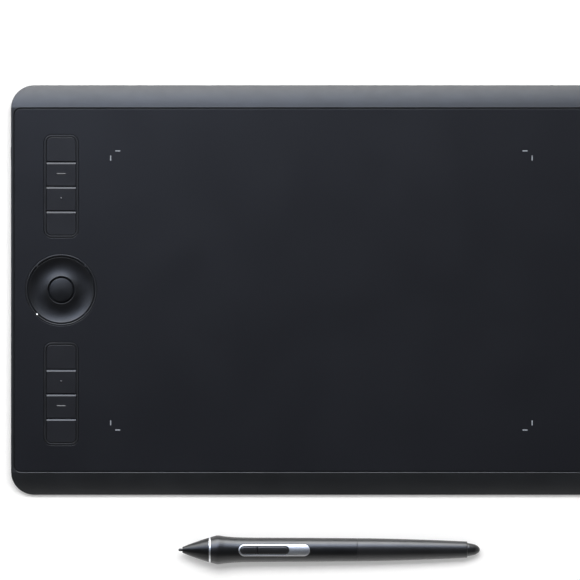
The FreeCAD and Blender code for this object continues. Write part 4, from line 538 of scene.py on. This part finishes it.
def edge_steps(edge, top, degrees):
    """Inset and height pairs that round an upper edge, from the side to the top."""
    pairs = []
    for angle in map(math.radians, degrees):
        pairs.append((edge * (1 - math.cos(angle)), top - edge + edge * math.sin(angle)))
    return pairs


def plate(outer, holes, z0, z1, edge):
    """Flat plate with holes; outer and holes give a loop for a growth, and edge rounds the upper rims."""
    mesh = bmesh.new()
    # The last level is a flat band inside the rim, so that the rim's shading stays off the top
    levels = [(0.0, z0)] + edge_steps(edge, z1, (0, 30, 60, 90)) + [(edge * 2, z1)]
    ends = {z0: [], z1: []}
    for outline, side in [(outer, -1)] + [(hole, 1) for hole in holes]:
        rows = []
        for inset, z in levels:
            rows.append([mesh.verts.new((x, y, z)) for x, y in outline(side * inset)])
        for low, high in zip(rows, rows[1:]):
            for index in range(len(low)):
                after = (index + 1) % len(low)
                mesh.faces.new((low[index], low[after], high[after], high[index]))
        for z, row in ((z0, rows[0]), (z1, rows[-1])):
            for index in range(len(row)):
                ends[z].append(mesh.edges.get((row[index], row[(index + 1) % len(row)])))
    for edges in ends.values():
        bmesh.ops.triangle_fill(mesh, use_beauty=True, use_dissolve=False, edges=edges)
    mesh.verts.index_update()
    points = [tuple(vertex.co) for vertex in mesh.verts]
    faces = [tuple(vertex.index for vertex in face.verts) for face in mesh.faces]
    mesh.free()
    return points, faces


def finished(mesh):
    """Welds a mesh, turns its normals outwards and shades it smooth between its sharp edges."""
    work = bmesh.new()
    work.from_mesh(mesh)
    bmesh.ops.remove_doubles(work, verts=work.verts, dist=WELD)
    bmesh.ops.dissolve_degenerate(work, edges=work.edges, dist=SLIVER)
    bmesh.ops.recalc_face_normals(work, faces=work.faces)
    for face in work.faces:
        face.smooth = True
    for edge in work.edges:
        edge.smooth = len(edge.link_faces) == 2 and edge.calc_face_angle(0.0) < SHARP_ANGLE
    work.to_mesh(mesh)
    work.free()


def new_object(name, data):
    """Object in the scene for a mesh, a lamp or the camera."""
    thing = bpy.data.objects.new(name, data)
    bpy.context.scene.collection.objects.link(thing)
    return thing


def plain_object(name, shape):
    """Finished mesh object of a shape, with no material yet."""
    points, faces = shape
    mesh = bpy.data.meshes.new(name)
    mesh.from_pydata([(x * MM, y * MM, z * MM) for x, y, z in points], [], faces)
    finished(mesh)
    return new_object(name, mesh)


def cut_out(thing, tool):
    """Cuts one object out of another and deletes the tool."""
    cut = thing.modifiers.new("cut", "BOOLEAN")
    cut.operation = "DIFFERENCE"
    cut.solver = "EXACT"
    cut.object = tool
    graph = bpy.context.evaluated_depsgraph_get()
    mesh = bpy.data.meshes.new_from_object(thing.evaluated_get(graph))
    thing.modifiers.clear()
    old = thing.data
    thing.data = mesh
    bpy.data.meshes.remove(old)
    bpy.data.objects.remove(tool)
    finished(mesh)


def dressed(thing, slot, body, node):
    """Makes an object a piece of the model: its material, its body and the node that it stands for."""
    thing.data.materials.clear()
    thing.data.materials.append(MATERIALS[slot])
    weighted = thing.modifiers.new("weighted_normals", "WEIGHTED_NORMAL")
    weighted.keep_sharp = True
    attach(thing, body)
    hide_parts(node)


def piece(name, shape, slot, body, node):
    """A piece of the model from its shape."""
    dressed(plain_object(name, shape), slot, body, node)


# Keys

def side_inset(depth, chamfer, step=(0.0, 1.0)):
    """How far a key's side has come in at a depth below its top; no chamfer means the rounded edge."""
    if chamfer:
        wide, deep = chamfer
        lean, lean_from = step
        return (max(0.0, wide * (1 - depth / deep))
                + lean * min(1.0, max(0.0, (lean_from - depth) / (lean_from - deep))))
    if depth >= KEY_ROUND:
        return 0.0
    return KEY_ROUND - math.sqrt(KEY_ROUND ** 2 - (KEY_ROUND - depth) ** 2)


def key_cap(x, y, index):
    """Cap of the key at a place in its group of four, counted from the rear."""
    rear = KEY_REAR_CHAMFER if index > 0 else None
    front = KEY_FRONT_CHAMFER if index < KEYS_PER_GROUP - 1 else None
    front_r = KEY_INNER_CORNER if front else KEY_CORNER
    rear_r = KEY_INNER_CORNER if rear else KEY_CORNER
    half_x = KEY_CAP_WIDTH / 2
    half_y = KEY_CAP_LENGTH / 2
    loops = []
    for z, wider in ((KEY_SKIRT_Z, KEY_FLANGE), (KEY_FLANGE_Z, KEY_FLANGE), (KEY_FLANGE_Z, 0.0)):
        loops.append(corner_loop(x - half_x - wider, x + half_x + wider, y - half_y, y + half_y, z,
                                 (front_r, front_r, rear_r, rear_r)))
    for depth in KEY_CAP_DEPTHS:
        inset_x = side_inset(depth, None)
        inset_front = side_inset(depth, front)
        inset_rear = side_inset(depth, rear, KEY_REAR_STEP)
        front_corner = max(front_r - max(inset_x, inset_front), LEAST_CORNER)
        rear_corner = max(rear_r - max(inset_x, inset_rear), LEAST_CORNER)
        loops.append(corner_loop(x - half_x + inset_x, x + half_x - inset_x, y - half_y + inset_front,
                                 y + half_y - inset_rear, KEY_TOP_Z - depth,
                                 (front_corner, front_corner, rear_corner, rear_corner)))
    return loft(loops)


def key_post(x, y):
    """Stepped post under a cap, whose tip meets the switch."""
    post_r, shoulder_z = KEY_POST
    tip_r, tip_z = KEY_POST_TIP
    profile = [(tip_r, tip_z), (tip_r, shoulder_z), (post_r, shoulder_z), (post_r, KEY_SKIRT_Z)]
    return turned(profile, upright(x, y), steps=32)


def dash(x, y):
    """Raised bar with a ridged back."""
    length, width, height = DASH
    loops = []
    for inset, rise in DASH_RISE:
        loops.append(grown_loop((x, y), length, width, width / 2, -inset * width / 2,
                                KEY_TOP_Z + rise * height))
    return loft(loops)


def dot(x, y):
    """Raised round pip with sloping sides."""
    profile = [(DOT_R * reach, KEY_TOP_Z + DOT_HEIGHT * rise) for reach, rise in DOT_RISE]
    return turned(profile, upright(x, y), steps=32)


def keys():
    """Eight keys, four of them with a raised dash or dot."""
    for number in range(1, KEY_COUNT + 1):
        node = "express_key_%d" % number
        x, y = middle_of(node)
        index = (number - 1) % KEYS_PER_GROUP
        shapes = [key_cap(x, y, index), key_post(x, y)]
        if number in DASH_KEYS:
            shapes.append(dash(x, y))
        if number in DOT_KEYS:
            shapes.append(dot(x, y))
        piece("key_cap_%d" % number, together(*shapes), "key_plastic", "key_%d" % number, node)


# Key trays

def tray_size(node):
    """Width and length of the opening inside a tray's raised line."""
    low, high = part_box(node)
    grow = 2 * TRAY_FLANGE
    return (high.x - low.x) / MM - grow, (high.y - low.y) / MM - grow


def tray_legs(centre, width, length):
    """Four round feet under the tray's flange."""
    reach_x = width / 2 + TRAY_FLANGE - TRAY_LEG_FROM_SIDE
    reach_y = length / 2 + TRAY_FLANGE - TRAY_LEG_FROM_END
    legs = []
    for side_x in (-1, 1):
        for side_y in (-1, 1):
            place = upright(centre[0] + side_x * reach_x, centre[1] + side_y * reach_y)
            legs.append(turned([(TRAY_LEG_R, TRAY_LEG_Z), (TRAY_LEG_R, TRAY_BASE_Z)], place, steps=24))
    return legs


def trays():
    """The raised line round each group of keys, with the guide plate under it."""
    top = KEY_TOP_Z
    profile = softened([(TRAY_FLANGE, TRAY_BASE_Z), (TRAY_FLANGE, PANEL_Z), (TRAY_LIP, PANEL_Z),
                        (TRAY_LIP, top), (0.0, top), (0.0, TRAY_RETAINER_Z), (TRAY_LIP, TRAY_RETAINER_Z),
                        (TRAY_LIP, TRAY_FLOOR_Z)],
                       [TRAY_FLANGE_ROUND, 0, TRAY_LIP_ROUND, TRAY_LIP_ROUND, 0, 0])
    for name in ("rear", "front"):
        node = "key_tray_" + name
        centre = middle_of(node)
        width, length = tray_size(node)
        line = loft([grown_loop(centre, width, length, TRAY_CORNER, grow, z) for grow, z in profile])
        piece("tray_" + name, together(line, *tray_legs(centre, width, length)), "tray_plastic", "tablet",
              node)


# Touch ring

def ring_dish():
    """Hollow ring with rounded lips, and its flange under the film."""
    x, y = middle_of("touch_ring_dish")
    dish = arc_between((RING_INNER_R, RING_TOP_Z), (RING_OUTER_R, RING_TOP_Z), RING_DISH_DEPTH)
    inner = softened([(RING_INNER_R, RING_BASE_Z), dish[0], dish[2]], [RING_INNER_ROUND])
    outer = softened([dish[-2], dish[-1], (RING_OUTER_R, PANEL_Z)], [RING_OUTER_ROUND])
    profile = inner + dish[3:-2] + outer
    profile += [(RING_FLANGE_R, PANEL_Z), (RING_FLANGE_R, RING_BASE_Z)]
    piece("ring_dish", turned(profile, upright(x, y), closed=True), "ring_plastic", "tablet",
          "touch_ring_dish")


def centre_button():
    """Crowned button in the middle of the ring, with its flange and the tip that meets the switch."""
    x, y = middle_of("touch_ring_dish")
    crown_r = (BUTTON_R ** 2 + BUTTON_CROWN ** 2) / (2 * BUTTON_CROWN)
    crown = []
    for step in range(1, CROWN_STEPS + 1):
        radius = BUTTON_R * step / CROWN_STEPS
        crown.append((radius, RING_TOP_Z - crown_r + math.sqrt(crown_r ** 2 - radius ** 2)))
    flange_low, flange_high = BUTTON_FLANGE_Z
    tip_r, tip_z = BUTTON_TIP
    rim = softened([crown[-3], crown[-1], (BUTTON_R, flange_high)], [BUTTON_ROUND])
    profile = [(BUTTON_MIDDLE_R, RING_TOP_Z)] + crown[:-3] + rim
    profile += [(BUTTON_FLANGE_R, flange_high), (BUTTON_FLANGE_R, flange_low), (tip_r, flange_low),
                (tip_r, tip_z)]
    piece("ring_centre_button", turned(profile[::-1], upright(x, y)), "ring_plastic", "ring_button",
          "ring_button")


def light_boss(place):
    """Thin raised collar round a status light."""
    inside = LIGHT_R + LIGHT_GAP
    profile = softened([(inside, PANEL_Z), (inside, RING_TOP_Z), (LIGHT_BOSS_R, RING_TOP_Z),
                        (LIGHT_BOSS_R, PANEL_Z)], [LIGHT_GAP, LIGHT_BOSS_ROUND])
    return turned(profile, place, steps=48, closed=True)


def status_light(place):
    """Light guide with a domed end."""
    profile = [(LIGHT_R, LIGHT_LOW_Z)]
    profile += [(LIGHT_R * share, RING_TOP_Z - depth) for share, depth in LIGHT_DOME]
    return turned(profile, place, steps=32)


def ring_bead():
    """Thin raised ring round the dish, with a collar round each of its four status lights."""
    x, y = middle_of("touch_ring_dish")
    outside = TRIM_R + TRIM_WIDTH
    profile = softened([(TRIM_R, PANEL_Z), (TRIM_R, RING_TOP_Z), (outside, RING_TOP_Z), (outside, PANEL_Z)],
                       [TRIM_ROUND, TRIM_ROUND])
    shapes = [turned(profile, upright(x, y), closed=True)]
    lights = {}
    for degrees in LIGHT_ANGLES:
        angle = math.radians(degrees)
        place = upright(x + LIGHT_AT * math.cos(angle), y + LIGHT_AT * math.sin(angle))
        shapes.append(light_boss(place))
        lights[degrees] = status_light(place)
    piece("ring_bead", together(*shapes), "tray_plastic", "tablet", "ring_trim")
    piece("ring_light_on", lights.pop(LIT_ANGLE), "led_white", "tablet", "ring_light_lit")
    piece("ring_lights_off", together(*lights.values()), "light_guide_dark", "tablet", "ring_lights_unlit")


# Drawing film

def flat_outline(centre, width, length, radius):
    """Function that gives a rounded rectangle's loop for a growth."""
    return lambda grow: [(x, y) for x, y, _ in grown_loop(centre, width, length, radius, grow, 0.0)]


def round_outline(centre, radius):
    """Function that gives a circle's loop for a growth."""
    place = upright(*centre)

    def loop(grow):
        angles = [2 * math.pi * step / TURN_STEPS for step in range(TURN_STEPS)]
        return [place(angle, radius + grow, 0.0)[:2] for angle in angles]
    return loop


def mark_slots():
    """Centre, width and length of each corner light's slot."""
    shift_y = middle_of("surface_sheet")[1]
    middle = MARK_OFFSET + MARK_LENGTH / 2
    long_side = MARK_LENGTH + 2 * MARK_PLAY
    short_side = MARK_WIDTH + 2 * MARK_PLAY
    slots = []
    for side_x in (-1, 1):
        for side_y in (-1, 1):
            x = MARK_CENTRE[0] + side_x * MARK_HALF[0]
            y = MARK_CENTRE[1] + shift_y + side_y * MARK_HALF[1]
            slots.append(((x - side_x * middle, y), long_side, short_side))
            slots.append(((x, y - side_y * middle), short_side, long_side))
    return slots


def film():
    """Matt drawing film with openings for the ring, the keys and the corner lights."""
    low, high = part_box("surface_sheet")
    outer = flat_outline(middle_of("surface_sheet"), (high.x - low.x) / MM, (high.y - low.y) / MM,
                         FILM_CORNER)
    holes = [round_outline(middle_of("touch_ring_dish"), RING_OPENING_R)]
    border = TRAY_LIP + TRAY_OPENING_GAP
    for node in ("key_tray_rear", "key_tray_front"):
        width, length = tray_size(node)
        holes.append(flat_outline(middle_of(node), width + 2 * border, length + 2 * border,
                                  TRAY_CORNER + border))
    for centre, width, length in mark_slots():
        holes.append(flat_outline(centre, width, length, MARK_CORNER))
    piece("film", plate(outer, holes, low.z / MM, high.z / MM, FILM_ROUND), "drawing_film", "tablet",
          "surface_sheet")


# Pen

def pen_point(along, across, up):
    """Point in the pen's own directions, laid on the desk."""
    fall = math.radians(PEN_FALL)
    return (PEN_TIP[0] + along * math.cos(fall) + up * math.sin(fall), PEN_TIP[1] + across,
            PEN_TIP[2] - along * math.sin(fall) + up * math.cos(fall))


def round_pen(angle, radius, along):
    """Turning place about the pen's axis."""
    return pen_point(along, radius * math.cos(angle), radius * math.sin(angle))


def pen_turned(outline, closed=False, steps=TURN_STEPS):
    """Skin of (along, radius) pairs turned round the pen."""
    return turned([(radius, along) for along, radius in outline], round_pen, steps, closed)


def nib():
    """Thin rod with a rounded tip."""
    outline = [*NIB_CURVE, (NIB_END, NIB_R)]
    piece("nib", pen_turned(outline, steps=48), "nib_plastic", "pen_nib", "pen_nib")


def front_cone():
    """Hollow cone that the nib comes out of."""
    cone = curve_through(CONE_CURVE, 8)
    outline = softened([(CONE_START, NIB_BORE_R), cone[0], cone[1]], [CONE_START_ROUND]) + cone[2:-1]
    outline += softened([cone[-2], cone[-1], (PEN_RING_START, CHASSIS_BORE_R)], [CONE_END_ROUND])
    outline += [(CHASSIS_BORE_START, CHASSIS_BORE_R), (CHASSIS_BORE_START, NIB_BORE_R)]
    piece("front_cone", pen_turned(outline, closed=True), "nib_plastic", "pen", "pen_front_cone")


def ring_end_radius():
    """Radius of the silver ring's rear end, on the straight line from the cone to the flare."""
    slope = (FLARE_R - CONE_END_R) / (FLARE - PEN_RING_START)
    return CONE_END_R + slope * (PEN_RING_END - PEN_RING_START)


def silver_ring():
    """Thin bright ring between cone and grip."""
    outline = softened([(PEN_RING_START, CHASSIS_BORE_R), (PEN_RING_START, CONE_END_R),
                        (PEN_RING_END, ring_end_radius()), (PEN_RING_END, CHASSIS_BORE_R)],
                       [PEN_RING_ROUND, PEN_RING_ROUND])
    piece("silver_ring", pen_turned(outline, closed=True), "pen_chrome", "pen", "pen_ring")


def grip_line():
    """Outside of the grip, level at the flare."""
    return curve_through(GRIP_CURVE, 16, 0.0)


def grip():
    """Rubber grip with the slot that holds the bezel."""
    line = grip_line()
    # The flare is rounded between the ring's edge and the fifth point of the grip's line
    start = [(PEN_RING_END, CHASSIS_BORE_R), (PEN_RING_END, ring_end_radius())]
    outline = softened(start + [line[0], line[4]], [GRIP_START_ROUND, FLARE_ROUND])
    outline += line[5:-1]
    outline += softened([line[-2], line[-1], (GRIP_END, CHASSIS_BORE_R)], [SEAM_ROUND])
    thing = plain_object("grip", pen_turned(outline, closed=True))
    slot = capsule_loop(BEZEL_START, BEZEL_LENGTH, BEZEL_WIDTH, SLOT_GAP)
    prism = loft([[pen_point(along, across, height) for along, across in slot] for height in SLOT_HEIGHTS])
    cut_out(thing, plain_object("slot", prism))
    dressed(thing, "pen_rubber", "pen", "pen_grip")


def barrel():
    """Rear part of the pen's shell, which tapers to the eraser."""
    line = curve_through(BARREL_CURVE, 16)
    outline = softened([(GRIP_END, CHASSIS_BORE_R), line[0], line[1]], [SEAM_ROUND]) + line[2:-3]
    outline += softened([line[-3], line[-1], (BARREL_END, BARREL_BORE_R)], [BARREL_END_ROUND])
    outline += [(BARREL_BORE_START, BARREL_BORE_R), (BARREL_BORE_START, CHASSIS_BORE_R)]
    piece("barrel", pen_turned(outline, closed=True), "pen_plastic", "pen", "pen_barrel")


def eraser():
    """Round eraser end on its thin stem."""
    outline = [(ERASER_STEM_START, ERASER_STEM_R), (ERASER_START, ERASER_STEM_R), (ERASER_START, ERASER_R)]
    outline += curve_through(ERASER_CURVE, 10, 0.0)
    outline += ERASER_TIP
    piece("eraser", pen_turned(outline, steps=96), "rocker_plastic", "pen_eraser", "pen_eraser")


# Side switch on the pen

def surface_radius(along):
    """Radius of the grip's outside at a distance from the nib."""
    line = grip_line()
    for (s0, r0), (s1, r1) in zip(line, line[1:]):
        if s0 <= along <= s1:
            return r0 + (r1 - r0) * (along - s0) / (s1 - s0)
    return line[-1][1]


def capsule_loop(start, length, width, grow=0.0, arc_steps=24, run_steps=60):
    """Flat slot-shaped loop of (along, across) pairs, anticlockwise from its front end."""
    radius = width / 2 + grow
    first = start + width / 2
    last = start + length - width / 2
    loop = []
    for step in range(arc_steps + 1):
        angle = math.radians(90 + 180 * step / arc_steps)
        loop.append((first + radius * math.cos(angle), radius * math.sin(angle)))
    for step in range(1, run_steps):
        loop.append((first + (last - first) * step / run_steps, -radius))
    for step in range(arc_steps + 1):
        angle = math.radians(-90 + 180 * step / arc_steps)
        loop.append((last + radius * math.cos(angle), radius * math.sin(angle)))
    for step in range(1, run_steps):
        loop.append((last - (last - first) * step / run_steps, radius))
    return loop


def over_grip(loop, lift):
    """Lays a flat loop over the grip, lifted off it by a number or by a function of the place along."""
    points = []
    for along, across in loop:
        raised = lift(along) if callable(lift) else lift
        radius = surface_radius(along) + raised
        points.append(pen_point(along, across, math.sqrt(max(radius ** 2 - across ** 2, 0.0))))
    return points


def switch_edge(edge, proud):
    """Inset and lift pairs that round the edge of a switch part."""
    return edge_steps(edge, proud, (0, 22, 45, 67, 90))


def blended(first, second, amount):
    """Loop between two flat ones."""
    return [(a[0] + (b[0] - a[0]) * amount, a[1] + (b[1] - a[1]) * amount) for a, b in zip(first, second)]


def bezel():
    """Silver plate round the side switch, bent over the grip, with the switch's mouth in it."""
    def outside(inset):
        return capsule_loop(BEZEL_START, BEZEL_LENGTH, BEZEL_WIDTH, -inset)

    def mouth(grow):
        return capsule_loop(ROCKER_START - MOUTH_END_GAP, ROCKER_LENGTH + 2 * MOUTH_END_GAP,
                            ROCKER_WIDTH + 2 * MOUTH_SIDE_GAP, grow)

    loops = [over_grip(outside(0.0), -BEZEL_DEPTH)]
    for inset, lift in switch_edge(BEZEL_ROUND, BEZEL_PROUD):
        loops.append(over_grip(outside(inset), lift))
    for step in range(1, BEZEL_BANDS):
        between = blended(outside(BEZEL_ROUND), mouth(BEZEL_ROUND), step / BEZEL_BANDS)
        loops.append(over_grip(between, BEZEL_PROUD))
    for grow, lift in reversed(switch_edge(BEZEL_ROUND, BEZEL_PROUD)):
        loops.append(over_grip(mouth(grow), lift))
    loops.append(over_grip(mouth(0.0), -BEZEL_DEPTH))
    piece("switch_bezel", loft(loops, closed=True), "bezel_silver", "pen", "pen_switch_bezel")


def rocker():
    """Two-way side switch with a small groove between its halves."""
    notch = ROCKER_START + NOTCH_FROM_START

    def outline(inset):
        return capsule_loop(ROCKER_START, ROCKER_LENGTH, ROCKER_WIDTH, -inset, arc_steps=16, run_steps=150)

    def notched(base):
        return lambda along: base - NOTCH_DEPTH * max(0.0, 1 - abs(along - notch) / NOTCH_HALF)

    loops = [over_grip(outline(0.0), -ROCKER_DEPTH)]
    for inset, lift in switch_edge(ROCKER_ROUND, ROCKER_PROUD):
        loops.append(over_grip(outline(inset), notched(lift)))
    for inset in ROCKER_INSETS:
        loops.append(over_grip(outline(inset), notched(ROCKER_PROUD)))
    piece("side_rocker", loft(loops), "rocker_plastic", "pen_rocker", "pen_switch_rocker")


# Floor, world, lamps and camera

def seen_directly(tree):
    """1 for camera, glossy and transmission rays, else 0."""
    path = tree.nodes.new("ShaderNodeLightPath")
    seen = added(tree, path.outputs["Is Camera Ray"], path.outputs["Is Glossy Ray"])
    return added(tree, seen, path.outputs["Is Transmission Ray"], clamp=True)


def floor():
    """Wide white desk."""
    half = FLOOR_HALF
    mesh = bpy.data.meshes.new("floor")
    mesh.from_pydata([(-half, -half, 0), (half, -half, 0), (half, half, 0), (-half, half, 0)], [],
                     [(0, 1, 2, 3)])
    material, tree, shader = new_material("floor_paper")
    shader.inputs["Base Color"].default_value = (*FLOOR_COLOUR, 1.0)
    shader.inputs["Roughness"].default_value = FLOOR_ROUGHNESS
    shader.inputs["Specular IOR Level"].default_value = FLOOR_SPECULAR
    shader.inputs["Emission Color"].default_value = (1.0, 1.0, 1.0, 1.0)
    glow = spread(tree, seen_directly(tree), 0.0, FLOOR_GLOW, 0.0, 1.0)
    tree.links.new(glow, shader.inputs["Emission Strength"])
    mesh.materials.append(material)
    new_object("floor", mesh)


def world():
    """White for the camera, even for matt surfaces, and for gloss pale at the horizon and dark overhead."""
    sky = bpy.data.worlds.new("studio")
    bpy.context.scene.world = sky
    sky.use_nodes = True
    tree = sky.node_tree
    background = tree.nodes["Background"]
    background.inputs["Color"].default_value = (1.0, 1.0, 1.0, 1.0)
    place = tree.nodes.new("ShaderNodeTexCoord")
    parts = tree.nodes.new("ShaderNodeSeparateXYZ")
    tree.links.new(place.outputs["Generated"], parts.inputs[0])
    path = tree.nodes.new("ShaderNodeLightPath")
    level = spread(tree, parts.outputs["Z"], HORIZON_LEVEL, CEILING_LEVEL, *HORIZON_BAND)
    level = chosen(tree, path.outputs["Is Camera Ray"], 1.0, level)
    level = chosen(tree, path.outputs["Is Diffuse Ray"], WORLD_FILL, level)
    tree.links.new(level, background.inputs["Strength"])


def softbox(name, place, target, size, watts, colour=(1.0, 1.0, 1.0)):
    """Rectangular lamp that points at a target and isn't seen itself."""
    lamp = bpy.data.lights.new(name, "AREA")
    lamp.shape = "RECTANGLE"
    lamp.size, lamp.size_y = size
    lamp.energy = watts
    lamp.color = colour
    thing = new_object(name, lamp)
    thing.location = place
    thing.rotation_euler = (Vector(target) - Vector(place)).to_track_quat("-Z", "Y").to_euler()
    thing.visible_camera = False
    return thing


def lamps():
    """Three low softboxes that make the sheen, and one high one that lights floor and colours."""
    sheen = (
        softbox("rear_softbox", (-0.2, 0.78, 0.27), SHEEN_TARGET, (1.2, 0.55), 14.0, (0.97, 0.985, 1.0)),
        softbox("upper_softbox", (-0.25, 0.56, 0.68), SHEEN_TARGET, (1.0, 0.41), 8.2, (0.67, 0.77, 1.0)),
        softbox("front_softbox", (-0.05, -0.85, 0.4), SHEEN_TARGET, (1.8, 0.3), 0.5),
    )
    for lamp in sheen:
        lamp.visible_diffuse = False
    high = softbox("high_softbox", (-0.1, 0.45, 1.12), (-0.02, -0.02, 0.0), (1.0, 0.5), 12.8)
    high.visible_glossy = False


def camera():
    """Long lens straight above, framed as the photograph is."""
    data = bpy.data.cameras.new("camera")
    data.sensor_width = SENSOR_WIDTH
    data.lens = SENSOR_WIDTH * CAMERA_HEIGHT / PHOTO_WIDTH
    thing = new_object("camera", data)
    thing.location = (*PHOTO_CENTRE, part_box("surface_sheet")[1].z + CAMERA_HEIGHT)
    bpy.context.scene.camera = thing


dress_cad_nodes()
keys()
trays()
ring_dish()
centre_button()
ring_bead()
film()
nib()
front_cone()
silver_ring()
grip()
barrel()
eraser()
bezel()
rocker()
floor()
world()
lamps()
camera()
bpy.context.scene.view_settings.view_transform = "Standard"
